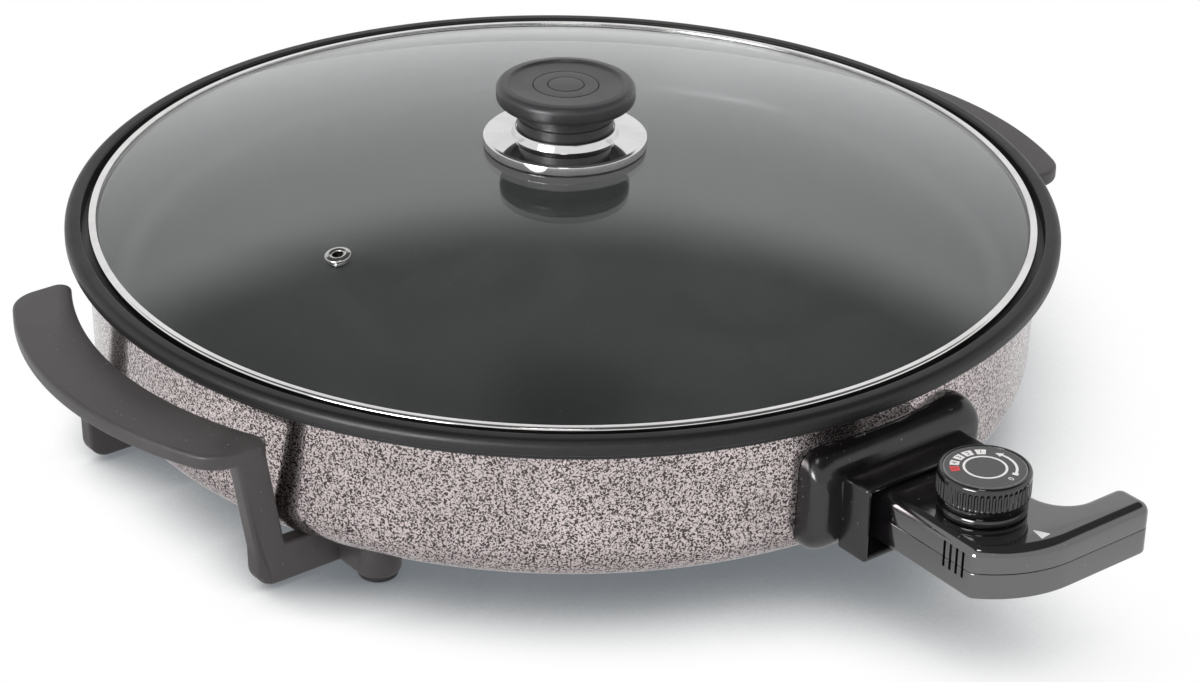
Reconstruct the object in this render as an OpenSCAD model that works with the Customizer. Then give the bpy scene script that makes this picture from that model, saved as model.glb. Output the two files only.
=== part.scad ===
// Electric pizza maker: a shallow round pan on two handle brackets, a domed
// glass lid that lifts off, and a plug-in thermostat with a turning dial.
// Every section is drawn about the pan's own axis. X runs through the two
// handles, the thermostat plugs in on the -Y side, and Z is up.

/* [Pan] */
// Overall diameter over the rolled rim
rim_d = 420; // [405:1:440]
// Height of the rim's top above the table
rim_top_z = 90; // [88:0.5:100]
// Width of the rolled rim, seen from above
rim_w = 6.8; // [5:0.1:8]
// Height of the rolled rim, seen from the side
rim_h = 6.3; // [4.5:0.1:7]
// Depth from the rim's top to the ledge that carries the lid
seat_depth = 6.5; // [6:0.1:8]
// Depth from the rim's top to the cooking floor
pan_depth = 38; // [34:0.5:40]
// Thickness of the pan's wall, ledge and floor
pan_t = 3; // [2:0.1:3.5]
// How much smaller the cooking floor is than the top of the cavity, in radius
pan_draft = 4; // [2:0.5:8]
// Radius of the bend between cooking floor and wall
pan_corner_r = 12; // [8:0.5:16]

/* [Outer casing] */
// How far the rim stands out past the top of the casing
rim_overhang = 8.8; // [7:0.1:9.5]
// Thickness of the casing's sheet
casing_t = 1.2; // [0.8:0.1:1.6]
// Height of the casing's underside above the table
casing_z = 19; // [16:0.5:21]
// Radius of the bend at the casing's lower edge
casing_corner_r = 18.5; // [14:0.5:22]
// How much the casing tapers inwards on its way down, in radius
casing_taper = 1; // [0:0.1:3]
// Air gap between the pan's wall and the casing, at the top
wall_gap = 1.5; // [1:0.1:2.5]

/* [Heater] */
// Radius of the heating element's ring, to the middle of its tube
element_ring_r = 120; // [100:1:130]
// Diameter of the heating element's tube
element_d = 8; // [6.5:0.1:8.5]
// Radius of the aluminium heat-spreading plate
spreader_r = 150; // [140:1:160]
// Thickness of the heat-spreading plate
spreader_t = 3.4; // [3:0.1:4]
// Number of clips that hold the element up against the plate
clip_count = 3; // [3:1:6]
// Width of one clip, along the element
clip_w = 12; // [10:0.5:16]

/* [Terminals] */
// Distance between the two terminal pins
pin_spacing = 26; // [24:0.5:28]
// Diameter of a terminal pin
pin_d = 4.8; // [4:0.1:5]
// How far the pins stand out of the floor of the socket
pin_reach = 17; // [12:0.5:18]
// Diameter of the temperature probe
probe_d = 5.6; // [4.6:0.1:6]
// Wall thickness of the tube that guides the probe
probe_tube_t = 0.9; // [0.5:0.1:1.2]
// How far the probe reaches past the thermostat's nose
probe_reach = 77; // [60:1:85]

/* [Handles] */
// How far each handle stands out past the rim
handle_reach = 32; // [28:0.5:36]
// Width of the finger plate, along a radius
handle_w = 27.5; // [22:0.5:28]
// Length of the finger plate from end to end
handle_len = 163.5; // [156:0.5:166]
// Radius of the finger plate's curve, seen from above
handle_curve_r = 165; // [155:1:190]
// How far the finger plates are set back from the thermostat's side
handle_setback = 5.25; // [2:0.25:6]
// Thickness of the finger plate
handle_t = 6.6; // [5:0.1:9]
// Drop from the rim's top to the finger plate's top
handle_drop = 17; // [14:0.5:24]
// Rounding of the finger plate's outer corners, seen from above
handle_corner_r = 16; // [10:0.5:17]
// Thickness of the bracket legs, along the plate
leg_t = 8; // [6:0.1:11]
// Width of the bracket legs, seen from the end of the handle
leg_w = 13.4; // [11:0.1:14]
// How far the legs' tops stand in from the plate's nearer end
leg_inset = 0.5; // [0.5:0.1:3]
// Gap between the casing and the legs' tops
leg_gap = 10.3; // [9.5:0.1:11.5]
// How far the legs lean inwards between plate and arm
leg_lean = 12.4; // [9:0.1:12.6]
// How far the legs spread apart, along the plate, between arm and plate
leg_splay = 8.8; // [5:0.1:10]
// Height of the arms' underside above the table
arm_z = 2.6; // [2.6:0.1:6]
// Height of the bracket arms
arm_h = 17; // [14:0.5:20]
// How far the middle of a foot lies inside the casing's wall, along X
foot_inset = 47.2; // [44:0.1:52]
// How far the feet stand out sideways from the legs
foot_offset = 17.1; // [14:0.1:18]
// Diameter of a foot
foot_d = 19; // [17:0.5:20]
// Thickness of the rubber foot pads
foot_pad_t = 2.4; // [2:0.1:2.6]

/* [Socket guard] */
// Distance from the pan's middle line to the socket's
socket_x = 5; // [0:0.5:6]
// Width of the guard's flange
guard_w = 87; // [76:1:96]
// Height of the guard's flange
guard_h = 45; // [42:0.5:47]
// Height of the guard's lower edge above the table
guard_z = 25.5; // [24:0.5:27]
// How far the flange stands off the casing
guard_t = 8.5; // [6:0.1:9]
// Rounding of the flange's upper and lower front edges
guard_edge_r = 12; // [8:0.5:14]
// Width of the sleeve that shrouds the thermostat's nose
sleeve_w = 62; // [58:0.5:68]
// Height of the sleeve's lower edge above the table
sleeve_z = 28; // [27:0.5:28.5]
// Height of the sleeve
sleeve_h = 32.5; // [31:0.5:35]
// How far the sleeve stands out of the flange
sleeve_reach = 13.5; // [11:0.5:16]
// Wall thickness of the sleeve
sleeve_t = 2.5; // [1.8:0.1:2.8]

/* [Thermostat] */
// Width of the thermostat's body, across the plug
ctl_w = 46; // [44:0.5:50]
// Height of the thermostat's body
ctl_h = 21.5; // [20:0.5:23]
// Height of the thermostat's underside above the table
ctl_z = 35.5; // [34:0.1:36]
// Length of the body from its nose to the front of the arm
ctl_len = 82; // [78:0.5:90]
// How far the side arm reaches past the body
arm_reach = 32; // [28:0.5:50]
// Width of the side arm, front to back
arm_w = 17.5; // [15:0.5:20]
// Radius of the sweep round the front corner
front_sweep_r = 50; // [46:1:54]
// Radius of the inside corner between body and arm
inner_sweep_r = 14; // [8:0.5:18]
// Rounding along the top edges
ctl_edge_r = 4.5; // [2:0.5:5]
// Wall thickness of the two covers
cover_t = 2; // [1.6:0.1:2.2]
// Height of the lower cover
lower_cover_h = 11; // [9.5:0.1:12]
// Diameter of the hole for the mains lead
cord_hole_d = 7.4; // [6:0.1:8]

/* [Dial] */
// Diameter of the dial
dial_d = 36; // [32:0.5:40]
// Height of the dial above the thermostat
dial_h = 17.4; // [14:0.1:22]
// Height of the ribbed band round the dial
dial_rib_h = 9; // [6:0.5:11]
// Number of ribs round the dial
dial_ribs = 50; // [36:2:54]
// Distance from the thermostat's nose to the dial's axis
dial_setback = 45.5; // [44:0.5:48]
// Diameter of the dial's spindle
spindle_d = 6; // [4:0.1:7]

/* [Lid] */
// Gap between the lid's steel band and the rim
lid_gap = 3; // [2:0.1:3.6]
// Height of the steel band
band_h = 6.7; // [6:0.1:7.5]
// Width of the band's top lip
band_lip = 2.6; // [2:0.1:3.2]
// Thickness of the band's sheet
band_t = 0.6; // [0.4:0.05:0.8]
// Thickness of the glass
glass_t = 4; // [3:0.1:4]
// How far the glass domes up over its edge
dome_rise = 27.6; // [24:0.1:34]
// Distance from the lid's axis to the steam vent
vent_x = 126.8; // [90:1:150]
// Direction of the steam vent, seen from above
vent_angle = 187; // [90:1:270]
// Outer diameter of the vent's eyelet
vent_d = 11; // [9:0.5:14]
// Diameter of the hole through the eyelet
vent_hole_d = 4.6; // [3:0.1:6]

/* [Lid knob] */
// Diameter of the knob's cap
knob_d = 58.6; // [50:0.5:66]
// Height of the knob, from the steel disc to its top
knob_h = 20; // [17:0.5:28]
// Thickness of the knob's cap
knob_cap_h = 9; // [7:0.5:12]
// Diameter of the knob's neck
neck_d = 41; // [34:0.5:46]
// Diameter of the polished steel disc under the knob
disc_d = 69; // [60:0.5:80]
// Height of the disc over the glass
disc_h = 7; // [6:0.5:9]
// Thickness of the disc's sheet
disc_t = 0.8; // [0.6:0.1:1.2]
// Diameter of the lid screw
lid_screw_d = 4; // [3:0.1:4]

/* [Hidden] */
$fn = 96;

fit = 0.12;                 // running clearance, on the radius
seat_gap = 0.25;            // clearance behind a curved face that is seated
cut = 1;                    // how far a cutter reaches past what it cuts
screw_d = 3.5;              // small screws of casing, guard and covers
screw_head_d = 6.4;
screw_head_h = 2;

// Pan, from the rim inwards
rim_r = rim_d / 2;
recess_r = rim_r - rim_w;
seat_z = rim_top_z - seat_depth;
casing_top_r = rim_r - rim_overhang;
casing_low_r = casing_top_r - casing_taper;
casing_top_z = seat_z - pan_t;
cavity_top_r = casing_top_r - casing_t - wall_gap - pan_t;
cavity_low_r = cavity_top_r - pan_draft;
floor_z = rim_top_z - pan_depth;
floor_under_z = floor_z - pan_t;
casing_floor_z = casing_z + casing_t;

// Heater and terminals. The pins, the sockets and the element share one level.
element_r = element_d / 2;
spreader_under_z = floor_under_z - spreader_t;
element_z = floor_under_z - element_r - 0.2;
pin_x = pin_spacing / 2;
pin_r = pin_d / 2;
probe_r = probe_d / 2;
probe_play = 0.3;
probe_tube_r = probe_r + probe_play + probe_tube_t;
probe_z = spreader_under_z - probe_tube_r - 2 * fit;
clip_t = 1.2;
clip_ear = 12;
clip_half_w = element_r + fit + clip_t + clip_ear;

// Distances from the pan's axis towards the thermostat
socket_floor_y = casing_low_r + 3.8;
flange_front_y = casing_low_r + guard_t + 0.3;
sleeve_front_y = flange_front_y + sleeve_reach;
bracket_t = 1.5;
bracket_half_w = 28;
bracket_rise = 10;          // from the pins' level to the terminal bracket's top
window_half_w = 20;         // window through the casing for pins and probe
window_margin = 7;
bracket_y = casing_low_r - 5.7;          // inner face of the terminal bracket
insulator_flange = 3;
element_end_y = bracket_y - insulator_flange - 3.5;
pin_tip_y = socket_floor_y + pin_reach;
nose_y = socket_floor_y + 3;
ctl_front_y = nose_y + ctl_len;
dial_y = nose_y + dial_setback;
guard_screw_x = 24.5;
guard_screw_d = screw_d;
guard_screw_head_d = 5.6;
socket_mid_z = element_z;

// Handles
handle_r = rim_r + handle_reach;
handle_top_z = rim_top_z - handle_drop;
handle_under_z = handle_top_z - handle_t;
handle_half = handle_len / 2;
leg_top_y = handle_half - handle_setback - leg_inset - leg_t / 2;
leg_y = leg_top_y - leg_splay;
leg_top_x = sqrt(pow(casing_top_r, 2) - pow(leg_top_y - leg_t / 2, 2)) + leg_gap;
leg_low_x = leg_top_x - leg_lean;
leg_bend_r = 13;
arm_top_z = arm_z + arm_h;
leg_rise = handle_under_z - arm_top_z;
leg_tilt = atan(leg_splay / leg_rise);
foot_x = casing_low_r - foot_inset;
foot_y = leg_y + foot_offset;
foot_r = foot_d / 2;
post_r = 6;
post_bore = 12;             // how deep the foot screws may reach into a post
handle_screw_d = 4;
handle_screw_head_d = 8;
handle_screw_head_h = 3;

// Thermostat
ctl_half = ctl_w / 2;
ctl_top_z = ctl_z + ctl_h;
part_z = ctl_z + lower_cover_h;
ctl_flare = 2;
arm_end_x = ctl_half + arm_reach;
arm_back_y = ctl_front_y - arm_w;
arm_mid_y = ctl_front_y - arm_w / 2;
arm_corner_r = 4;
sweep_x = 12;
block_len = 24;
block_half_w = ctl_half - cover_t - 0.6;
block_play = 0.25;
block_top_z = ctl_top_z - cover_t - 0.1;
block_low_z = ctl_z + cover_t + 0.1;
socket_wall = 0.95;
socket_r = pin_r + fit + socket_wall;
frame_t = 1.2;
frame_z = ctl_z + cover_t + 7;
frame_half_w = 11;
frame_len = 26;
leaf_t = 0.5;
boss_r = 3.4;
boss_play = 0.3;
boss_setback = 22;
boss_places = [
    [-(ctl_half - cover_t - boss_r - 1), ctl_front_y - boss_setback],
    [ctl_half - cover_t - boss_r - 1, nose_y + block_len + 8],
    [ctl_half + 1, arm_mid_y]
];
gland_r = 6;
gland_len = 13;
gland_z = ctl_z + ctl_h / 2;
clamp_x = arm_end_x - gland_len - 7;
vent_slots = 4;
vent_pitch = 3.4;
vent_setback = 20;
slot_h = 11;

// Dial
dial_r = dial_d / 2;
dial_clear = 0.35;
dial_low_z = ctl_top_z + dial_clear;
dial_top_z = ctl_top_z + dial_h;
dial_face_t = 0.8;
spindle_r = spindle_d / 2;
spindle_low_z = frame_z - 3;
spindle_top_z = dial_top_z - 5;
flat_depth = 0.25 * spindle_d;

// Lid
band_r = recess_r - lid_gap;
band_top_z = seat_z + band_h;
glass_r = band_r - band_t - 0.3;
lip_r = band_r - band_lip;
glass_edge_z = band_top_z - band_t - fit;
dome_r = (pow(lip_r, 2) + pow(dome_rise, 2)) / (2 * dome_rise);
dome_z = glass_edge_z + dome_rise - dome_r;
apex_z = dome_z + dome_r;
inner_dome_r = dome_r - glass_t;
glass_low_z = dome_z + sqrt(pow(inner_dome_r, 2) - pow(glass_r, 2));
vent_tilt = asin(vent_x / dome_r);

// Knob and what clamps it to the glass
disc_r = disc_d / 2;
disc_low_z = dome_z + sqrt(pow(dome_r, 2) - pow(disc_r, 2)) + seat_gap;
disc_top_z = apex_z + disc_h;
knob_r = knob_d / 2;
knob_top_z = disc_top_z + knob_h;
cap_low_z = knob_top_z - knob_cap_h;
neck_r = neck_d / 2;
gasket_r = 13;
lower_gasket_t = 2;
washer_t = 1.2;
washer_r = 11;
lid_screw_r = lid_screw_d / 2;
lid_screw_head_r = 5.5;
lid_screw_head_h = 3;
glass_hole_r = lid_screw_r + 2;
glass_under_z = dome_z + sqrt(pow(inner_dome_r, 2) - pow(gasket_r, 2)) - fit;
washer_z = glass_under_z - lower_gasket_t;
insert_r = 4.2;
insert_len = 10;

// The row's origin is midway between the thermostat's front and the rim's back
pan_y = (ctl_front_y - rim_r) / 2;

module at_pan() {
    translate([0, pan_y, 0]) children();
}

// The socket and the thermostat that plugs into it stand beside the pan's middle line
module at_socket() {
    translate([socket_x, pan_y, 0]) children();
}

module tube_along_y(r, y_from, y_to) {
    translate([0, -y_from, 0]) rotate([90, 0, 0]) cylinder(r = r, h = y_to - y_from);
}

// Half section of the casing's outside, grown outwards by g
module casing_section(g = 0, top = casing_top_z) {
    corner_x = casing_low_r - casing_corner_r;
    corner_z = casing_z + casing_corner_r;
    polygon([
        [0, casing_z - g], [corner_x, casing_z - g], [corner_x, corner_z],
        [casing_low_r + g, corner_z], [casing_top_r + g, casing_top_z],
        [casing_top_r + g, top], [0, top]
    ]);
    intersection() {
        translate([corner_x, corner_z]) circle(r = casing_corner_r + g);
        translate([corner_x - cut, casing_z - g])
            square([casing_corner_r + g + 2 * cut, casing_corner_r + g]);
    }
}

module casing_solid(g = 0, top = casing_top_z) {
    rotate_extrude($fn = 180) casing_section(g, top);
}

// Half section of the cooking cavity, grown outwards by g
module cavity_section(g = 0, top = seat_z) {
    corner_x = cavity_low_r - pan_corner_r;
    corner_z = floor_z + pan_corner_r;
    polygon([
        [0, floor_z - g], [corner_x, floor_z - g], [corner_x, corner_z],
        [cavity_low_r + g, corner_z], [cavity_top_r + g, seat_z],
        [cavity_top_r + g, top], [0, top]
    ]);
    intersection() {
        translate([corner_x, corner_z]) circle(r = pan_corner_r + g);
        translate([corner_x - cut, floor_z - g])
            square([pan_corner_r + g + 2 * cut, pan_corner_r + g]);
    }
}

// What a rounding of radius r takes off a corner at (x, z) that points up and out
module corner_waste(x, z, r) {
    difference() {
        translate([x - r, z - r]) square(r + cut);
        translate([x - r, z - r]) circle(r = r);
    }
}

// Ledge for the lid, and the rolled rim with its low crown and round outer edge
module rim_block() {
    rim_low_z = rim_top_z - rim_h;
    difference() {
        polygon([
            [cavity_top_r - cut, casing_top_z], [recess_r + pan_t, casing_top_z],
            [recess_r + pan_t, rim_low_z], [rim_r - 1, rim_low_z], [rim_r, rim_low_z + 1],
            [rim_r, rim_top_z], [cavity_top_r - cut, rim_top_z]
        ]);
        polygon([
            [0, seat_z], [recess_r, seat_z], [recess_r, rim_top_z - 0.8],
            [recess_r + 1, rim_top_z], [recess_r + 1, rim_top_z + cut], [0, rim_top_z + cut]
        ]);
        corner_waste(rim_r, rim_top_z, min(rim_h, rim_w) / 2);
    }
}

module pan_shell() {
    color([0.13, 0.13, 0.14]) at_pan() rotate_extrude($fn = 180) difference() {
        union() {
            cavity_section(pan_t);
            rim_block();
        }
        cavity_section(0, seat_z + cut);
    }
}

module outer_casing() {
    color([0.55, 0.53, 0.54]) at_pan() difference() {
        rotate_extrude($fn = 180) difference() {
            casing_section();
            casing_section(-casing_t, casing_top_z + cut);
        }
        // Window for the terminals and the probe
        translate([socket_x - window_half_w, -casing_low_r - cut, probe_z - window_margin])
            cube([2 * window_half_w, casing_low_r - bracket_y + 3,
                socket_mid_z - probe_z + 2 * window_margin]);
        for (side = [-1, 1]) translate([socket_x + side * guard_screw_x, 0, socket_mid_z])
            tube_along_y(guard_screw_d / 2 + 0.3, bracket_y, casing_low_r + 2);
        at_feet() translate([0, 0, casing_z - cut])
            cylinder(r = handle_screw_d / 2 + 0.3, h = casing_t + 2 * cut);
    }
}

module heat_spreader() {
    color([0.75, 0.76, 0.78]) at_pan() difference() {
        translate([0, 0, spreader_under_z]) cylinder(r = spreader_r, h = spreader_t, $fn = 180);
        element_path(element_r + fit);
        at_clips() clip_screw_holes(screw_d / 2 - 0.2);
    }
}

// Element tube of radius r: an open ring, and an end that runs out to each terminal
module element_path(r) {
    knee_angles = [for (side = [-1, 1]) asin((socket_x + side * pin_x) / element_ring_r)];
    translate([0, 0, element_z]) {
        rotate_extrude(angle = 360 - knee_angles[1] + knee_angles[0],
                start = knee_angles[1] - 90, $fn = 180)
            translate([element_ring_r, 0]) circle(r = r, $fn = 32);
        for (a = knee_angles) translate([element_ring_r * sin(a), 0, 0]) {
            tube_along_y(r, element_ring_r * cos(a), element_end_y);
            translate([0, -element_ring_r * cos(a), 0]) sphere(r = r + 0.15, $fn = 32);
        }
    }
}

module heating_element() {
    color([0.42, 0.41, 0.40]) at_pan() element_path(element_r);
}

module at_clips() {
    for (i = [0 : clip_count - 1]) rotate([0, 0, 90 + i * 360 / clip_count])
        translate([element_ring_r, 0, spreader_under_z]) children();
}

module clip_screw_holes(r) {
    for (side = [-1, 1]) translate([side * (clip_half_w - clip_ear / 2), 0, -4])
        cylinder(r = r, h = 4 + spreader_t - 0.8, $fn = 32);
}

// Strap with an arched middle that cradles the element from below
module element_clips() {
    arch_play = 0.4;
    arch_r = element_r + arch_play;
    color([0.70, 0.70, 0.72]) at_pan() at_clips() difference() {
        rotate([90, 0, 0]) translate([0, 0, -clip_w / 2]) linear_extrude(clip_w) difference() {
            union() {
                translate([-clip_half_w, -clip_t]) square([2 * clip_half_w, clip_t]);
                intersection() {
                    translate([0, element_z - spreader_under_z]) circle(r = arch_r + clip_t);
                    translate([-clip_half_w, -clip_half_w])
                        square([2 * clip_half_w, clip_half_w]);
                }
            }
            translate([0, element_z - spreader_under_z]) circle(r = arch_r);
        }
        clip_screw_holes(screw_d / 2 + 0.1);
    }
}

module clip_screws() {
    color([0.72, 0.72, 0.74]) at_pan() at_clips()
        for (side = [-1, 1]) translate([side * (clip_half_w - clip_ear / 2), 0, -clip_t]) {
            cylinder(r = screw_d / 2 - 0.2 - fit, h = clip_t + spreader_t - 1, $fn = 32);
            translate([0, 0, -screw_head_h])
                cylinder(r = screw_head_d / 2, h = screw_head_h, $fn = 32);
        }
}

module at_feet() {
    for (x = [-foot_x, foot_x], y = [-foot_y, foot_y]) translate([x, y, 0]) children();
}

// Posts on the pan's underside take the screws that clamp casing and handles
module mounting_posts() {
    color([0.72, 0.73, 0.75]) at_pan() at_feet() difference() {
        translate([0, 0, casing_floor_z])
            cylinder(r = post_r, h = floor_under_z - casing_floor_z);
        translate([0, 0, casing_floor_z - cut])
            cylinder(r = handle_screw_d / 2 + fit, h = post_bore + cut, $fn = 32);
    }
}

module terminal_bracket() {
    bracket_low_z = probe_z - probe_tube_r - 3;
    bracket_high_z = socket_mid_z + bracket_rise;
    color([0.66, 0.66, 0.68]) at_socket() difference() {
        translate([-bracket_half_w, -bracket_y - bracket_t, bracket_low_z])
            cube([2 * bracket_half_w, bracket_t, bracket_high_z - bracket_low_z]);
        for (side = [-1, 1]) {
            translate([side * pin_x, 0, element_z])
                tube_along_y(insulator_r() + fit, bracket_y - cut, bracket_y + bracket_t + cut);
            translate([side * guard_screw_x, 0, socket_mid_z]) tube_along_y(
                guard_screw_d / 2 + fit, bracket_y - cut, bracket_y + bracket_t + cut);
        }
        translate([0, 0, probe_z]) tube_along_y(
            probe_tube_r + fit, bracket_y - cut, bracket_y + bracket_t + cut);
    }
}

function insulator_r() = pin_r + 2.2;

module terminal_pins() {
    color([0.80, 0.77, 0.66]) at_socket()
        for (side = [-1, 1]) translate([side * pin_x, 0, element_z]) {
            tube_along_y(pin_r, element_end_y, pin_tip_y - pin_r / 2);
            translate([0, -pin_tip_y + pin_r / 2, 0]) rotate([90, 0, 0])
                cylinder(r1 = pin_r, r2 = pin_r / 2, h = pin_r / 2);
        }
}

// Flanged ceramic bushes that carry the live pins through the bracket
module pin_insulators() {
    color([0.93, 0.91, 0.86]) at_socket()
        for (side = [-1, 1]) translate([side * pin_x, 0, element_z]) difference() {
            union() {
                tube_along_y(insulator_r(), bracket_y - insulator_flange, socket_floor_y - 0.1);
                tube_along_y(insulator_r() + 1.5, bracket_y - insulator_flange, bracket_y);
            }
            tube_along_y(pin_r + fit, bracket_y - insulator_flange - cut, socket_floor_y + cut);
        }
}

module probe_tube() {
    closed_y = nose_y - probe_reach - 6;
    color([0.70, 0.68, 0.62]) at_socket() translate([0, 0, probe_z]) difference() {
        tube_along_y(probe_tube_r, closed_y, socket_floor_y - 0.1);
        tube_along_y(probe_r + probe_play, closed_y + 2, socket_floor_y + cut);
    }
}

// Rectangle with rounded corners, centred on x and standing on z = 0
module rounded_panel(w, h, r) {
    translate([-w / 2 + r, 0]) square([w - 2 * r, h]);
    translate([-w / 2, r]) square([w, h - 2 * r]);
    for (x = [-w / 2 + r, w / 2 - r], z = [r, h - r]) translate([x, z]) circle(r = r, $fn = 48);
}

// Block whose front edges are rounded; the back runs straight to the pan's axis.
// radii: its corners seen from the front, from the side and from above
module rounded_front_block(w, h, front_y, radii, depth) {
    intersection() {
        translate([0, -front_y + depth, 0]) rotate([90, 0, 0])
            linear_extrude(depth) rounded_panel(w, h, radii[0]);
        rotate([90, 0, 90]) translate([0, 0, -w / 2]) linear_extrude(w)
            translate([-front_y + depth, 0]) rounded_panel(2 * depth, h, radii[1]);
        linear_extrude(h) translate([0, -front_y]) rounded_panel(w, 2 * depth, radii[2]);
    }
}

module socket_guard() {
    flange_depth = 26;
    color([0.07, 0.07, 0.08]) at_socket() difference() {
        union() {
            translate([0, 0, guard_z]) rounded_front_block(guard_w, guard_h, flange_front_y,
                guard_edge_r * [0.75, 1, 0.5], flange_depth);
            translate([0, 0, sleeve_z]) rounded_front_block(sleeve_w, sleeve_h, sleeve_front_y,
                1.5 * [1, 1, 1], flange_depth + 6);
        }
        translate([-socket_x, 0, 0]) casing_solid(seat_gap, rim_top_z);
        translate([-sleeve_w / 2 + sleeve_t, -sleeve_front_y - cut, sleeve_z + sleeve_t])
            cube([sleeve_w - 2 * sleeve_t, sleeve_front_y - socket_floor_y + cut,
                sleeve_h - 2 * sleeve_t]);
        for (side = [-1, 1]) {
            translate([side * pin_x, 0, element_z])
                tube_along_y(insulator_r() + 0.2, bracket_y, socket_floor_y + cut);
            translate([side * guard_screw_x, 0, socket_mid_z])
                tube_along_y(guard_screw_d / 2 + 0.2, bracket_y, socket_floor_y + cut);
        }
        translate([0, 0, probe_z])
            tube_along_y(probe_tube_r + 0.2, bracket_y, socket_floor_y + cut);
    }
}

module guard_screws() {
    color([0.75, 0.75, 0.77]) at_socket()
        for (side = [-1, 1]) translate([side * guard_screw_x, 0, socket_mid_z]) {
            tube_along_y(guard_screw_d / 2, bracket_y - 1, socket_floor_y);
            tube_along_y(guard_screw_head_d / 2, socket_floor_y, socket_floor_y + screw_head_h);
        }
}

function plate_end_y(side) = handle_setback + side * handle_half;

// Centre of the finger plate's outer corner, from the centre of the plate's curve
function plate_corner(side) = let (
    d = handle_curve_r - handle_corner_r,
    y = plate_end_y(side) - side * handle_corner_r
) [sqrt(d * d - y * y), y];

// Finger plate seen from above, on the +X side: a strip between two equal arcs
module handle_plan() {
    far = 1.3;
    translate([handle_r - handle_curve_r, 0]) difference() {
        union() {
            intersection() {
                circle(r = handle_curve_r, $fn = 180);
                polygon([[0, 0], far * plate_corner(-1), [far * handle_curve_r, 0],
                    far * plate_corner(1)]);
            }
            for (side = [-1, 1]) {
                corner = plate_corner(side);
                translate(corner) circle(r = handle_corner_r);
                polygon([[0, 0], corner, [corner[0], plate_end_y(side)],
                    [corner[0] - handle_w, plate_end_y(side)]]);
            }
        }
        translate([-handle_w, 0]) circle(r = handle_curve_r, $fn = 180);
    }
}

// Arm under the pan and the bend at its end, seen along the plate
module arm_section() {
    bend_x = leg_low_x + leg_w - leg_bend_r;
    bend_steps = 8;
    polygon(concat(
        [[leg_low_x + leg_w, arm_top_z], [foot_x, arm_top_z], [foot_x, arm_z]],
        [for (i = [0 : bend_steps]) let (a = -90 + i * 90 / bend_steps)
            [bend_x + leg_bend_r * cos(a), arm_z + leg_bend_r + leg_bend_r * sin(a)]]
    ));
}

// Leg drawn along its own length, which spreads outwards as well as leaning
module leg_section() {
    length = leg_rise / cos(leg_tilt);
    polygon([
        [leg_low_x, -cut], [leg_low_x + leg_w, -cut], [leg_low_x + leg_w, 0],
        [leg_top_x + leg_w, length], [leg_top_x + leg_w, length + cut],
        [leg_top_x, length + cut], [leg_top_x, length], [leg_low_x, 0]
    ]);
}

module leg(side) {
    slab_t = leg_t * cos(leg_tilt);
    translate([0, side * leg_y, arm_top_z]) rotate([-side * leg_tilt, 0, 0])
        translate([0, slab_t / 2, 0]) rotate([90, 0, 0]) linear_extrude(slab_t) leg_section();
}

// Upright stadium from the end of an arm out to the middle of its foot
module foot_block(side) {
    block_h = casing_z + 4 - foot_pad_t;
    for (y = [leg_y, foot_y]) translate([0, side * y, 0]) cylinder(r = foot_r, h = block_h);
    translate([-foot_r, side < 0 ? -foot_y : leg_y, 0])
        cube([2 * foot_r, foot_y - leg_y, block_h]);
}

module handle_bracket() {
    difference() {
        union() {
            translate([0, 0, handle_under_z]) linear_extrude(handle_t) handle_plan();
            for (side = [-1, 1]) {
                translate([0, side * leg_y + leg_t / 2, 0]) rotate([90, 0, 0])
                    linear_extrude(leg_t) arm_section();
                leg(side);
                translate([foot_x, 0, foot_pad_t]) foot_block(side);
            }
        }
        casing_solid(seat_gap, rim_top_z);
        for (side = [-1, 1]) translate([foot_x, side * foot_y, 0]) {
            cylinder(r = handle_screw_d / 2 + 0.3, h = casing_z + cut, $fn = 32);
            translate([0, 0, foot_pad_t - cut])
                cylinder(r = handle_screw_head_d / 2 + 0.3, h = handle_screw_head_h + 0.4 + cut);
        }
    }
}

module left_handle() {
    color([0.20, 0.19, 0.19]) at_pan() mirror([1, 0, 0]) handle_bracket();
}

module right_handle() {
    color([0.20, 0.19, 0.19]) at_pan() handle_bracket();
}

module handle_screws() {
    head_z = foot_pad_t + 0.4;
    color([0.70, 0.70, 0.72]) at_pan() at_feet() translate([0, 0, head_z]) {
        cylinder(r = handle_screw_head_d / 2, h = handle_screw_head_h, $fn = 48);
        cylinder(r = handle_screw_d / 2, h = casing_floor_z + 10 - head_z, $fn = 32);
    }
}

module foot_pads() {
    color([0.09, 0.09, 0.09]) at_pan() at_feet() {
        translate([0, 0, 1]) cylinder(r = foot_r - 0.5, h = foot_pad_t - 1);
        cylinder(r1 = foot_r - 1.5, r2 = foot_r - 0.5, h = 1);
    }
}

module lid_glass() {
    color([0.85, 0.90, 0.92, 0.35]) at_pan() difference() {
        rotate_extrude($fn = 180) intersection() {
            translate([0, dome_z]) difference() {
                circle(r = dome_r, $fn = 360);
                circle(r = inner_dome_r, $fn = 360);
            }
            translate([0, dome_z]) square([glass_r, dome_r + cut]);
        }
        translate([0, 0, dome_z + inner_dome_r - cut])
            cylinder(r = glass_hole_r, h = glass_t + 2 * cut);
        at_vent() translate([0, 0, -glass_t - cut])
            cylinder(r = vent_bore_r() + 0.3, h = glass_t + 2 * cut);
    }
}

// Steel channel that wraps the edge of the glass and stands on the pan's ledge
module lid_band() {
    lower_lip_z = glass_low_z - fit - band_t;
    color([0.80, 0.80, 0.82]) at_pan() rotate_extrude($fn = 180) {
        translate([band_r - band_t, seat_z]) square([band_t, band_h]);
        translate([lip_r, band_top_z - band_t]) square([band_lip, band_t]);
        translate([lip_r, lower_lip_z]) square([band_lip, band_t]);
    }
}

// Puts the glass's outer surface at the vent on z = 0
module at_vent() {
    translate([0, 0, dome_z]) rotate([0, vent_tilt, vent_angle])
        translate([0, 0, dome_r]) children();
}

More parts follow.
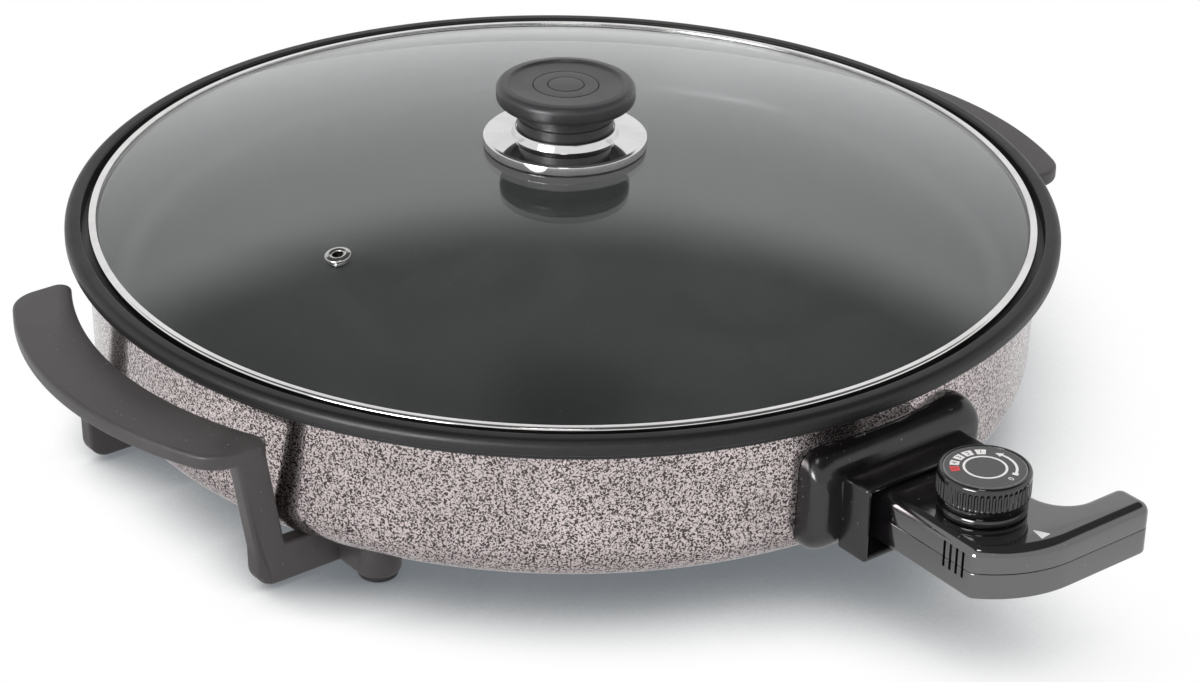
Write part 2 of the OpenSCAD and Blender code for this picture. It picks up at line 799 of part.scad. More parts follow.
function vent_bore_r() = vent_hole_d / 2 + 0.8;

module vent_eyelet() {
    flange_t = 1;
    color([0.78, 0.78, 0.80]) at_pan() at_vent() difference() {
        union() {
            translate([0, 0, 0.1]) cylinder(r = vent_d / 2, h = flange_t);
            translate([0, 0, -glass_t - flange_t]) cylinder(r = vent_bore_r(), h = glass_t + 2);
            translate([0, 0, -glass_t - flange_t - 0.1]) cylinder(r = vent_d / 2 - 1, h = flange_t);
        }
        translate([0, 0, -glass_t - 4]) cylinder(r = vent_hole_d / 2, h = glass_t + 8);
    }
}

// Dished steel disc: a turned-down edge, a low cone and a flat seat for the knob
module knob_disc() {
    edge_top_z = disc_low_z + 0.62 * (disc_top_z - disc_low_z);
    color([0.85, 0.85, 0.87]) at_pan() rotate_extrude($fn = 128) polygon([
        [lid_screw_r + 0.3, disc_top_z - disc_t], [neck_r - 2, disc_top_z - disc_t],
        [disc_r - 2, edge_top_z - disc_t], [disc_r - disc_t, edge_top_z - disc_t - 1],
        [disc_r - disc_t, disc_low_z], [disc_r, disc_low_z], [disc_r, edge_top_z - 1],
        [disc_r - 1, edge_top_z], [disc_r - 2, edge_top_z],
        [neck_r + 1, disc_top_z], [lid_screw_r + 0.3, disc_top_z]
    ]);
}

module upper_gasket() {
    color([0.16, 0.16, 0.17]) at_pan() difference() {
        translate([0, 0, apex_z]) cylinder(r = gasket_r, h = disc_h - disc_t);
        translate([0, 0, apex_z - cut])
            cylinder(r = lid_screw_r + 0.4, h = disc_h + 2 * cut, $fn = 48);
    }
}

module lower_gasket() {
    color([0.16, 0.16, 0.17]) at_pan() difference() {
        translate([0, 0, washer_z]) cylinder(r = gasket_r, h = lower_gasket_t);
        translate([0, 0, washer_z - cut])
            cylinder(r = lid_screw_r + 0.4, h = lower_gasket_t + 2 * cut, $fn = 48);
    }
}

module lid_washer() {
    color([0.76, 0.76, 0.78]) at_pan() difference() {
        translate([0, 0, washer_z - washer_t]) cylinder(r = washer_r, h = washer_t);
        translate([0, 0, washer_z - washer_t - cut])
            cylinder(r = lid_screw_r + 0.2, h = washer_t + 2 * cut, $fn = 48);
    }
}

module lid_screw() {
    head_z = washer_z - washer_t - lid_screw_head_h;
    color([0.74, 0.74, 0.76]) at_pan() translate([0, 0, head_z]) difference() {
        union() {
            cylinder(r = lid_screw_head_r, h = lid_screw_head_h, $fn = 48);
            cylinder(r = lid_screw_r, h = disc_top_z + insert_len - 1 - head_z, $fn = 48);
        }
        for (a = [0, 90]) rotate([0, 0, a]) translate([-3, -0.5, -cut]) cube([6, 1, cut + 1.2]);
    }
}

module knob_insert() {
    color([0.78, 0.62, 0.30]) at_pan() translate([0, 0, disc_top_z]) difference() {
        cylinder(r = insert_r, h = insert_len, $fn = 48);
        translate([0, 0, -cut])
            cylinder(r = lid_screw_r + fit, h = insert_len + 2 * cut, $fn = 48);
    }
}

// Half section of the knob: waisted neck, mushroom cap, ringed top
module knob_section() {
    seam_z = disc_top_z + 0.45 * (cap_low_z - disc_top_z);
    edge_r = knob_cap_h / 2;
    edge_x = knob_r - edge_r;
    ring_in = 0.36 * knob_r;
    difference() {
        union() {
            polygon([
                [insert_r + fit, disc_top_z], [neck_r, disc_top_z], [neck_r, seam_z],
                [neck_r - 0.8, seam_z + 0.8], [neck_r - 0.8, cap_low_z + 1],
                [edge_x, cap_low_z], [edge_x, knob_top_z], [0, knob_top_z],
                [0, disc_top_z + insert_len + fit], [insert_r + fit, disc_top_z + insert_len + fit]
            ]);
            translate([edge_x, knob_top_z - edge_r]) circle(r = edge_r);
        }
        // Shallow dish in the top, with a raised disc in its middle
        translate([ring_in, knob_top_z - 0.8]) square([edge_x - ring_in - 1, 1.8]);
        translate([0.5 * ring_in, knob_top_z - 0.5]) square([0.8, 1.5]);
    }
}

module lid_knob() {
    color([0.07, 0.07, 0.07]) at_pan() rotate_extrude($fn = 128) knob_section();
}

// Thermostat body seen from above, inset by e. y counts outwards from the pan's
// axis here, so that each wall and rounding keeps its own clearance when inset.
module controller_plan(e = 0) {
    intersection() {
        polygon([
            [-ctl_half + e, nose_y + e], [-ctl_half - ctl_flare + e, ctl_front_y - e],
            [ctl_half - e, ctl_front_y - e], [ctl_half - e, nose_y + e]
        ]);
        union() {
            translate([sweep_x, ctl_front_y - front_sweep_r])
                circle(r = front_sweep_r - e, $fn = 128);
            translate([sweep_x, nose_y - cut])
                square([ctl_half, ctl_len + 2 * cut]);
            translate([-2 * ctl_half, nose_y - cut])
                square([4 * ctl_half, ctl_len - front_sweep_r + 2 * cut]);
        }
    }
    difference() {
        union() {
            translate([sweep_x, arm_back_y + e])
                square([arm_end_x - sweep_x - arm_corner_r, arm_w - 2 * e]);
            translate([sweep_x, arm_back_y + arm_corner_r])
                square([arm_end_x - sweep_x - e, arm_w - 2 * arm_corner_r]);
            for (y = [arm_back_y + arm_corner_r, ctl_front_y - arm_corner_r])
                translate([arm_end_x - arm_corner_r, y])
                    circle(r = max(arm_corner_r - e, 0.1), $fn = 48);
            translate([ctl_half - e - 1, arm_back_y - inner_sweep_r])
                square([inner_sweep_r + 1 + e, inner_sweep_r + 1 + e]);
        }
        translate([ctl_half + inner_sweep_r, arm_back_y - inner_sweep_r])
            circle(r = inner_sweep_r + e);
    }
}

// Extrusion of the thermostat's plan between two heights
module controller_slab(e, z_from, z_to) {
    translate([0, 0, z_from]) mirror([0, 1, 0]) linear_extrude(z_to - z_from)
        controller_plan(e);
}

module at_bosses() {
    for (p = boss_places) translate([p[0], -p[1], 0]) children();
}

// Upright slots through the left wall, near the elbow
module side_slots() {
    slot_low_z = part_z - 4;
    for (i = [0 : vent_slots - 1])
        translate([-ctl_half - ctl_flare - cut, -ctl_front_y + vent_setback + i * vent_pitch, slot_low_z])
            cube([cover_t + ctl_flare + cut, 1.3, slot_h]);
}

module gland_bore(r) {
    translate([arm_end_x - gland_len - 0.5, -arm_mid_y, gland_z]) rotate([0, 90, 0])
        cylinder(r = r, h = gland_len + 4, $fn = 48);
}

module nose_window() {
    translate([-block_half_w, -nose_y - cover_t - cut, block_low_z])
        cube([2 * block_half_w, cover_t + 3 * cut, block_top_z - block_low_z]);
}

module controller_top_cover() {
    color([0.10, 0.10, 0.11]) at_socket() {
        difference() {
            intersection() {
                minkowski() {
                    controller_slab(ctl_edge_r, ctl_z, ctl_top_z - ctl_edge_r);
                    sphere(r = ctl_edge_r, $fn = 24);
                }
                translate([-rim_r, -rim_d, part_z]) cube([rim_d, rim_d, ctl_h]);
            }
            controller_slab(cover_t, part_z - cut, ctl_top_z - cover_t);
            side_slots();
            gland_bore(gland_r + 0.1);
            nose_window();
            translate([0, -dial_y, 0]) cylinder(r = spindle_r + 0.5, h = ctl_top_z + cut);
        }
        at_bosses() difference() {
            translate([0, 0, part_z + 0.4])
                cylinder(r = boss_r, h = ctl_top_z - cover_t - part_z - 0.3, $fn = 48);
            translate([0, 0, part_z])
                cylinder(r = screw_d / 2 - 0.2 + boss_play, h = 7, $fn = 32);
        }
    }
}

module controller_bottom_cover() {
    color([0.10, 0.10, 0.11]) at_socket() difference() {
        union() {
            difference() {
                controller_slab(0, ctl_z, part_z);
                controller_slab(cover_t, ctl_z + cover_t, part_z + cut);
            }
            at_bosses() translate([0, 0, ctl_z])
                cylinder(r = boss_r, h = lower_cover_h, $fn = 48);
        }
        side_slots();
        gland_bore(gland_r + 0.1);
        nose_window();
        at_bosses() translate([0, 0, ctl_z - cut]) {
            cylinder(r = screw_d / 2 + 0.1, h = lower_cover_h + 2 * cut, $fn = 32);
            cylinder(r = screw_head_d / 2 - 0.5, h = screw_head_h + cut, $fn = 32);
        }
    }
}

module cover_screws() {
    color([0.72, 0.72, 0.74]) at_socket() at_bosses() translate([0, 0, ctl_z]) {
        cylinder(r = screw_head_d / 2 - 0.6, h = screw_head_h, $fn = 32);
        cylinder(r = screw_d / 2 - 0.2, h = lower_cover_h + 5, $fn = 32);
    }
}

// Ceramic block in the nose: carries the two sockets and the probe
module contact_block() {
    color([0.88, 0.86, 0.80]) at_socket() difference() {
        translate([-block_half_w + block_play, -nose_y - block_len, block_low_z + block_play])
            cube([2 * (block_half_w - block_play), block_len - 0.2,
                block_top_z - block_low_z - 2 * block_play]);
        for (side = [-1, 1]) translate([side * pin_x, 0, element_z])
            tube_along_y(socket_r + fit, nose_y - cut, nose_y + block_len + cut);
        translate([0, 0, probe_z])
            tube_along_y(probe_r + fit, nose_y - cut, nose_y + block_len + cut);
    }
}

module contact_sockets() {
    color([0.80, 0.66, 0.34]) at_socket()
        for (side = [-1, 1]) translate([side * pin_x, 0, element_z]) difference() {
            tube_along_y(socket_r, nose_y + 1, nose_y + block_len + 1);
            tube_along_y(pin_r + fit, nose_y, pin_tip_y + 2);
        }
}

module probe_rod() {
    tip_r = probe_r / 2;
    tip_y = nose_y - probe_reach;
    color([0.78, 0.78, 0.80]) at_socket() translate([0, 0, probe_z]) {
        tube_along_y(probe_r, tip_y + tip_r, nose_y + block_len + 3);
        translate([0, -tip_y, 0]) rotate([90, 0, 0])
            cylinder(r1 = probe_r - tip_r, r2 = probe_r, h = tip_r);
    }
}

// Steel bridge over the contacts, with the bearing for the dial's spindle
module thermostat_frame() {
    low_z = ctl_z + cover_t;
    color([0.68, 0.68, 0.70]) at_socket() difference() {
        translate([0, -dial_y, 0]) union() {
            translate([-frame_half_w, -frame_len / 2, frame_z])
                cube([2 * frame_half_w, frame_len, frame_t]);
            for (x = [-frame_half_w, frame_half_w - frame_t])
                translate([x, -frame_len / 2, low_z]) cube([frame_t, frame_len, frame_z - low_z]);
            translate([0, 0, frame_z]) cylinder(r = spindle_r + 2, h = 4);
        }
        translate([0, -dial_y, frame_z - cut])
            cylinder(r = spindle_r + 0.25, h = 4 + 2 * cut);
    }
}

module bimetal_strip() {
    color([0.72, 0.55, 0.40]) at_socket()
        translate([-3, -dial_y - frame_len / 2 + 2, ctl_z + cover_t])
            cube([6, frame_len - 4, 0.8]);
}

// Two spring leaves, one over the other, with silver contacts at their tips
module contact_leaves() {
    leaf_z = ctl_z + cover_t + 1.2;
    leaf_len = frame_len - 6;
    color([0.82, 0.70, 0.42]) at_socket()
        translate([0, -dial_y, 0]) {
            translate([-4, -leaf_len / 2, leaf_z - 0.4]) cube([8, 4, 1.9 + leaf_t]);
            translate([-2.5, -leaf_len / 2, leaf_z]) cube([5, leaf_len, leaf_t]);
            translate([-2.5, -leaf_len / 2, leaf_z + 1.5]) cube([5, leaf_len - 2, leaf_t]);
            translate([0, leaf_len / 2 - 3.5, leaf_z + leaf_t])
                cylinder(r = 1.2, h = 0.6, $fn = 32);
        }
}

module cord_gland() {
    color([0.06, 0.06, 0.06]) at_socket() translate([arm_end_x, -arm_mid_y, gland_z])
        rotate([0, 90, 0]) difference() {
            union() {
                translate([0, 0, -gland_len]) cylinder(r = gland_r, h = gland_len + 0.4, $fn = 48);
            }
            translate([0, 0, -gland_len - cut])
                cylinder(r = cord_hole_d / 2, h = gland_len + 2 * cut + 0.4, $fn = 48);
        }
}

// Bar that grips the lead inside the arm, and the two posts that it bears on
module cord_clamp() {
    clamp_gap = cord_hole_d / 2 + 0.2;
    low_z = ctl_z + cover_t;
    post_y = cord_hole_d / 2 + 0.8;
    color([0.16, 0.16, 0.17]) at_socket() translate([clamp_x, -arm_mid_y, 0]) {
        for (side = [-1, 1]) translate([-2.5, side * (post_y + 0.9) - 0.9, low_z])
            cube([5, 1.8, gland_z + clamp_gap + 1.5 - low_z]);
        translate([-2.5, -post_y - 1.8, gland_z + clamp_gap])
            cube([5, 2 * post_y + 3.6, 1.5]);
    }
}

// D-shaped above the frame's bearing, so that it turns with the dial
module dial_spindle() {
    color([0.74, 0.74, 0.76]) at_socket() translate([0, -dial_y, 0]) difference() {
        translate([0, 0, spindle_low_z])
            cylinder(r = spindle_r, h = spindle_top_z - spindle_low_z);
        translate([-spindle_r, -spindle_r - cut, dial_low_z + 2])
            cube([spindle_d, flat_depth + cut, spindle_top_z]);
    }
}

module dial_knob() {
    rib_low_z = dial_top_z - 1 - dial_rib_h;
    hub_r = spindle_r + 2.5;
    groove_r = 0.7;
    color([0.08, 0.08, 0.08]) at_socket() translate([0, -dial_y, 0]) difference() {
        union() {
            translate([0, 0, dial_low_z]) cylinder(r = dial_r - 0.7, h = rib_low_z - dial_low_z);
            translate([0, 0, rib_low_z]) cylinder(r = dial_r, h = dial_rib_h);
            translate([0, 0, rib_low_z + dial_rib_h])
                cylinder(r1 = dial_r, r2 = dial_r - 0.9, h = 1);
        }
        // Hollow underneath, round a hub
        translate([0, 0, dial_low_z - cut]) difference() {
            cylinder(r = dial_r - 3, h = dial_h - 4 + cut);
            cylinder(r = hub_r, h = dial_h + cut);
        }
        translate([0, 0, dial_low_z - cut]) difference() {
            cylinder(r = spindle_r + fit, h = spindle_top_z + 0.2 - dial_low_z + cut);
            translate([-spindle_d, -spindle_r - spindle_d + flat_depth - fit, cut + 2.2])
                cube([2 * spindle_d, spindle_d, spindle_top_z]);
        }
        // Recess for the printed face
        translate([0, 0, dial_top_z - dial_face_t]) cylinder(r = dial_r - 1.8, h = 2);
        for (i = [0 : dial_ribs - 1]) rotate([0, 0, i * 360 / dial_ribs])
            translate([dial_r + 0.2, 0, rib_low_z + 0.6])
                cylinder(r = groove_r, h = dial_rib_h - 1.8, $fn = 16);
    }
}

module dial_face() {
    color([0.40, 0.40, 0.41]) at_socket() translate([0, -dial_y, dial_top_z - dial_face_t])
        cylinder(r = dial_r - 1.8 - fit, h = dial_face_t - 0.2);
}

pan_shell();
outer_casing();
heat_spreader();
heating_element();
element_clips();
clip_screws();
mounting_posts();
terminal_bracket();
terminal_pins();
pin_insulators();
probe_tube();
socket_guard();
guard_screws();
left_handle();
right_handle();
handle_screws();
foot_pads();
lid_glass();
lid_band();
vent_eyelet();
knob_disc();
upper_gasket();
lower_gasket();
lid_washer();
lid_screw();
knob_insert();
lid_knob();
controller_top_cover();
controller_bottom_cover();
cover_screws();
contact_block();
contact_sockets();
probe_rod();
thermostat_frame();
bimetal_strip();
contact_leaves();
cord_gland();
cord_clamp();
dial_spindle();
dial_knob();
dial_face();
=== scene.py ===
"""Dresses a round electric pizza pan: its pan, casing, lid, handles, thermostat and dial.

Each piece is a surface worked out on a grid in millimetres about the pan's upright axis,
with -Y towards the thermostat, and is put into its mesh in metres.
"""

import math

import bpy
import numpy as np
from mathutils import Matrix, Vector


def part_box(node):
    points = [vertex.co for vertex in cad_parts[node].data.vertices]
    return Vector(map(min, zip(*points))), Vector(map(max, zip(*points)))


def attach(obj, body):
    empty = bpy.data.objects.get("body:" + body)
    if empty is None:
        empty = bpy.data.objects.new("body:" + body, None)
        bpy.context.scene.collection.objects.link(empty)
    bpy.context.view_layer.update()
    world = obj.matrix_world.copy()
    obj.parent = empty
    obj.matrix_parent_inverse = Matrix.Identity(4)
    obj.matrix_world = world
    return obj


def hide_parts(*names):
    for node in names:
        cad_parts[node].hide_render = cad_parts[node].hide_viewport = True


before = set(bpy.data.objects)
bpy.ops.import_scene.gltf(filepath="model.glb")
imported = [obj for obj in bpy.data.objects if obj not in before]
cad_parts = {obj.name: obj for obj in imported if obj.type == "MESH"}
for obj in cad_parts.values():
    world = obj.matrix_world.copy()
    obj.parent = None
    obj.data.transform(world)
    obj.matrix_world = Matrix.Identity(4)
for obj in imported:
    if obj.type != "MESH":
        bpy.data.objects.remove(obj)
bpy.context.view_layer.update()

bl_info = {
    "name": "Electric Pizza Pan",
    "version": (1, 0, 0),
    "blender": (4, 5, 0),
    "location": "View3D > Sidebar > Pizza Pan",
    "description": "Builds a round electric pizza pan with a glass lid and a plug-in thermostat",
    "category": "Object",
}


def middle(node):
    """Middle of a CAD node's box, in millimetres."""
    low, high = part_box(node)
    return (np.array(low) + np.array(high)) * 500.0


PAN_Y = float(middle("pan_shell")[1])
PAN_AXIS = (0.0, PAN_Y)
SOCKET_X = float(middle("socket_guard")[0])
DIAL_XY = middle("dial_knob")[:2]
POINTER = math.radians(-82.0)   # the way from the dial's middle to the arrow on the cover
RIGHT = np.pi / 2


# ---- sizes and colours


def number(name, description, default, **kind):
    """Plain setting of the sidebar; length and angle give it their units."""
    return bpy.props.FloatProperty(name=name, description=description, default=default, **kind)


def length(name, description, millimetres):
    return number(name, description, millimetres / 1000, min=0.0, unit="LENGTH",
                  subtype="DISTANCE", precision=5)


def angle(name, description, degrees):
    return number(name, description, math.radians(degrees), subtype="ANGLE")


def colour(name, description, red, green, blue):
    return bpy.props.FloatVectorProperty(
        name=name, description=description, default=(red, green, blue),
        min=0.0, max=1.0, size=3, subtype="COLOR")


class PanSizes(bpy.types.PropertyGroup):
    rim_radius: length("Rim radius", "Outer radius of the rolled rim", 210)
    rim_width: length("Rim width", "Width of the rim's flat crown", 6.8)
    rim_height: length("Rim height", "Height of the rim's top above the table", 90)
    seat_depth: length("Seat depth", "Depth of the ledge that carries the lid", 6.5)
    floor_height: length("Floor height", "Height of the cooking floor above the table", 52)
    casing_radius: length("Casing radius", "Radius of the casing under the rim", 201.2)
    casing_bend: length("Casing bend", "Radius of the casing's lower bend", 18.5)
    casing_height: length("Casing height", "Height of the casing's underside above the table", 19)


class LidSizes(bpy.types.PropertyGroup):
    dome_radius: length("Dome radius", "Radius of the sphere that the glass is part of", 721.2)
    glass_radius: length("Glass radius", "Radius of the glass inside its band", 199.3)
    glass_thickness: length("Glass thickness", "Thickness of the glass", 4)
    band_radius: length("Band radius", "Outer radius of the steel band", 200.2)
    apex_height: length("Apex height", "Height of the glass's top above the table", 117.15)
    disc_radius: length("Disc radius", "Radius of the steel disc under the knob", 34.5)
    knob_radius: length("Knob radius", "Radius of the knob's cap", 29.3)
    knob_top: length("Knob top", "Height of the knob's top above the table", 144.15)


class HandleSizes(bpy.types.PropertyGroup):
    outer_reach: length("Outer reach", "From the pan's axis to the finger plate's edge", 242)
    plate_width: length("Plate width", "Width of the finger plate", 27.5)
    plate_length: length("Plate length", "Length of the finger plate", 163.5)
    plate_top: length("Plate top", "Height of the finger plate's top", 73)
    plate_thickness: length("Plate thickness", "Thickness of the finger plate", 6.6)
    leg_width: length("Leg width", "Width of a bracket leg, seen along the plate", 13.4)
    leg_thickness: length("Leg thickness", "Thickness of a bracket leg along the plate", 8)


class ThermostatSizes(bpy.types.PropertyGroup):
    body_width: length("Body width", "Width of the thermostat's body", 46)
    body_base: length("Body base", "Height of the thermostat's underside above the table", 35.5)
    body_height: length("Body height", "Height of the thermostat's body", 21.5)
    arm_reach: length("Arm reach", "How far the arm reaches past the body", 32)
    arm_width: length("Arm width", "Width of the arm", 17.5)
    edge_rounding: length("Edge rounding", "Rounding of the upper edges", 4.5)
    dial_radius: length("Dial radius", "Radius of the dial over its ribs", 18)
    dial_ribs: bpy.props.IntProperty(
        name="Dial ribs", description="Number of ribs round the dial", default=50, min=12, max=90)


class FinishColours(bpy.types.PropertyGroup):
    paint_light: colour("Paint veins", "Light veins of the hammered paint", 0.67, 0.592, 0.588)
    paint_dark: colour("Paint cells", "Dark cells of the hammered paint", 0.082, 0.066, 0.065)
    rim: colour("Rim", "Satin metallic coat of the rim", 0.038, 0.037, 0.038)
    non_stick: colour("Non-stick", "Coat of the cooking surface", 0.014, 0.014, 0.015)
    handle: colour("Handles", "Satin moulding of the handles", 0.058, 0.052, 0.053)
    moulding: colour("Gloss moulding", "Glossy moulding of thermostat and guard",
                     0.010, 0.009, 0.010)
    marking: colour("Marking", "Print on the dial", 0.80, 0.78, 0.77)
    hot_marking: colour("Hot marking", "Print of the hottest step", 0.72, 0.06, 0.06)


class StudioSettings(bpy.types.PropertyGroup):
    azimuth: angle("Azimuth", "Camera's turn round the pan", -38)
    elevation: angle("Elevation", "Camera's height as an angle", 25.21)
    roll: angle("Roll", "Camera's roll", 0.91)
    distance: length("Distance", "From the camera to the middle of the rim", 1402.5)
    lens: number("Lens", "Focal length on a 36 mm sensor, in millimetres", 99.0)
    key_power: number("Key power", "Power of the lamp overhead", 17.0, unit="POWER")
    fill_power: number("Fill power", "Power of the lamp beside the camera", 16.0, unit="POWER")


def mm(value):
    """Millimetres of a size that is held in metres."""
    return value * 1000.0


# ---- curves and surfaces


def circle(turn):
    """Points (cos a, sin a) of the unit circle."""
    return np.stack([np.cos(turn), np.sin(turn)], -1)


def spun(points, turn):
    """Points (x, y) turned about the origin."""
    c, s = math.cos(turn), math.sin(turn)
    return points @ np.array([[c, s], [-s, c]])


def xyz(x, y, z):
    """Points from three arrays or numbers that fit one another."""
    return np.stack(np.broadcast_arrays(x, y, z), -1)


def fillet(points, radii, steps=6, closed=False):
    """Line whose corners are arcs. At a corner with half angle h, the arc of radius r touches
    both sides at a distance r / tan(h), and its centre lies r / sin(h) along the bisector. The
    arc is made smaller where a side is too short for it."""
    longest_share, nearly_straight = 0.499, 1.5697
    corners = np.asarray(points, float)
    radii = np.broadcast_to(radii, len(corners))
    parts = []
    for i, (corner, radius) in enumerate(zip(corners, radii)):
        before, after = corners[i - 1] - corner, corners[(i + 1) % len(corners)] - corner
        reach = longest_share * min(np.hypot(*before), np.hypot(*after))
        before, after = before / np.hypot(*before), after / np.hypot(*after)
        half = 0.5 * math.acos(np.clip(before @ after, -1, 1))
        is_end = not closed and i in (0, len(corners) - 1)
        if radius <= 0 or is_end or half > nearly_straight:
            parts.append(corner[None])
            continue
        cut = min(radius / math.tan(half), reach)
        radius = cut * math.tan(half)
        bisector = (before + after) / np.hypot(*(before + after))
        centre = corner + bisector * radius / math.sin(half)
        first, last = corner + before * cut - centre, corner + after * cut - centre
        start = math.atan2(first[1], first[0])
        sweep = (math.atan2(last[1], last[0]) - start + math.pi) % (2 * math.pi) - math.pi
        parts.append(centre + radius * circle(start + sweep * np.linspace(0, 1, steps + 1)))
    return np.concatenate(parts)


def section(rows, steps=6, closed=True):
    """Profile with rounded corners from rows of radius, height and rounding."""
    rows = np.array(rows, float)
    return fillet(rows[:, :2], rows[:, 2], steps, closed)


def split_long(line, longest):
    """Closed line with points added so that no side is longer than longest: side k of length L
    gets ceil(L / longest) equal steps."""
    ends = np.roll(line, -1, 0)
    counts = np.maximum(1, np.ceil(np.linalg.norm(ends - line, axis=1) / longest)).astype(int)
    side = np.repeat(np.arange(len(line)), counts)
    step = np.arange(counts.sum()) - np.repeat(np.cumsum(counts) - counts, counts)
    share = (step / counts[side])[:, None]
    return line[side] * (1 - share) + ends[side] * share


def inset(outline, depth):
    """Closed outline moved inwards by depth: each point goes along the bisector of its two
    sides' inward normals, by depth / cos(half the turn). The outline runs counter-clockwise."""
    sides = np.roll(outline, -1, 0) - outline
    sides /= np.linalg.norm(sides, axis=1)[:, None]
    inward = np.stack([-sides[:, 1], sides[:, 0]], 1)
    both = inward + np.roll(inward, 1, 0)
    return outline + depth * 2 * both / (both ** 2).sum(1)[:, None]


def skin(rings, start="cap", end="cap", loop=False):
    """Vertices and faces of the surface through M closed rings of N points, point (i, j) joined
    to (i, j + 1) and (i + 1, j). An end is a flat cap, or a point at the ring's mean; loop
    joins the last ring to the first."""
    rings = np.asarray(rings, float)
    count, around = rings.shape[:2]
    vertices = rings.reshape(-1, 3)
    index = np.arange(count * around).reshape(count, around)
    lower, upper = (index, np.roll(index, -1, 0)) if loop else (index[:-1], index[1:])
    quads = np.stack([lower, np.roll(lower, -1, 1), np.roll(upper, -1, 1), upper], -1)
    faces = quads.reshape(-1, 4).tolist()
    if not loop:
        for how, row, turn in ((start, index[0], -1), (end, index[-1], 1)):
            if how == "cap":
                faces.append(row[::turn].tolist())
            else:
                tip = len(vertices)
                vertices = np.vstack([vertices, vertices[row].mean(0)])
                fan = np.stack([row, np.roll(row, -1), np.full(around, tip)], 1)[:, ::turn]
                faces.extend(fan.tolist())
    return vertices, faces


def joined(*parts):
    """One set of vertices and faces from several."""
    vertices, faces, first = [], [], 0
    for part_vertices, part_faces in parts:
        vertices.append(part_vertices)
        faces.extend([[corner + first for corner in face] for face in part_faces])
        first += len(part_vertices)
    return np.vstack(vertices), faces


def turned(profile, axis=PAN_AXIS, around=256, loop=True, ends="cap"):
    """Surface of a profile (radius, height) turned about an upright axis:
    x = radius cos(a), y = radius sin(a), z = height."""
    turn = np.linspace(0, 2 * np.pi, around, endpoint=False)
    radius, height = np.asarray(profile, float).T[:, :, None]
    rings = xyz(axis[0] + radius * np.cos(turn), axis[1] + radius * np.sin(turn), height)
    return skin(rings, ends, ends, loop)


def slab(outline, profile, place):
    """Solid with a closed outline (u, v) and rounded edges. Each profile row (depth, level)
    insets the outline by depth at that level, and place turns (u, v, level) into x, y, z."""
    return skin([place(*inset(outline, depth).T, level) for depth, level in profile])


def plate(outline, low, high):
    """Flat plate with upright sides between two heights."""
    return skin([xyz(outline[:, 0], outline[:, 1], z) for z in (low, high)])


def outwards(u, v, level):
    """Point, or points, from the socket's middle line and out from the pan's axis."""
    return xyz(u + SOCKET_X, PAN_Y - v, level)


def block(low, high):
    """Plain box between two corners, used only to cut with."""
    (x0, y0, z0), (x1, y1, z1) = low, high
    return plate(np.array([[x0, y0], [x1, y0], [x1, y1], [x0, y1]]), z0, z1)


def rod(start, direction, radius, reach, around=48):
    """Plain cylinder from a point along a unit direction, used only to cut with."""
    direction = np.asarray(direction, float)
    anywhere = [0.3, 0.5, 0.81]
    side = np.cross(direction, anywhere)
    side /= np.linalg.norm(side)
    other = np.cross(direction, side)
    turn = np.linspace(0, 2 * np.pi, around, endpoint=False)[:, None]
    ring = radius * (np.cos(turn) * side + np.sin(turn) * other)
    return skin([np.asarray(start) + ring + direction * step for step in (0, reach)])


def signed_volume(vertices, faces):
    """Sum over the faces' fans of a . (b x c) / 6, positive where faces point outwards."""
    total = 0.0
    for size in {len(face) for face in faces}:
        same = np.array([face for face in faces if len(face) == size])
        for k in range(1, size - 1):
            a, b, c = (vertices[same[:, n]] for n in (0, k, k + 1))
            total += np.einsum("ij,ij->", a, np.cross(b, c)) / 6
    return total


def facing_out(shape):
    """The shape with its faces turned round if they point inwards."""
    vertices, faces = shape
    if signed_volume(vertices, faces) < 0:
        faces = [face[::-1] for face in faces]
    return vertices, faces


def new_mesh(name, shape):
    """Mesh in metres of a shape in millimetres, its faces pointing outwards."""
    vertices, faces = facing_out(shape)
    mesh = bpy.data.meshes.new(name)
    mesh.from_pydata((vertices / 1000).tolist(), [], faces)
    mesh.validate()
    return mesh


def new_object(name, data):
    made = bpy.data.objects.new(name, data)
    bpy.context.scene.collection.objects.link(made)
    return made


def final_mesh(source):
    """New mesh of an object with its modifiers applied."""
    graph = bpy.context.evaluated_depsgraph_get()
    return bpy.data.meshes.new_from_object(source.evaluated_get(graph), depsgraph=graph)


def cut_away(piece, cutters):
    """Takes closed shapes away from a piece, and keeps the result as its mesh."""
    tools = []
    for shape in cutters:
        tool = new_object("cutter", new_mesh("cutter", shape))
        modifier = piece.modifiers.new("cut", "BOOLEAN")
        modifier.operation, modifier.solver, modifier.object = "DIFFERENCE", "EXACT", tool
        tools.append(tool)
    before, piece.data = piece.data, final_mesh(piece)
    piece.modifiers.clear()
    for mesh in (before, *(tool.data for tool in tools)):
        bpy.data.meshes.remove(mesh)
    if not len(piece.data.polygons):
        raise RuntimeError(f"cutting left nothing of {piece.name}")


def above(height, axis, inner=0.0, outer=np.inf):
    """Picks the second finish for faces above a height and between two radii about an axis."""
    def pick(centres):
        radius = np.hypot(*(centres[:, :2] - axis).T)
        return ((inner < radius) & (radius < outer) & (centres[:, 2] > height)).astype(np.int32)

    return pick


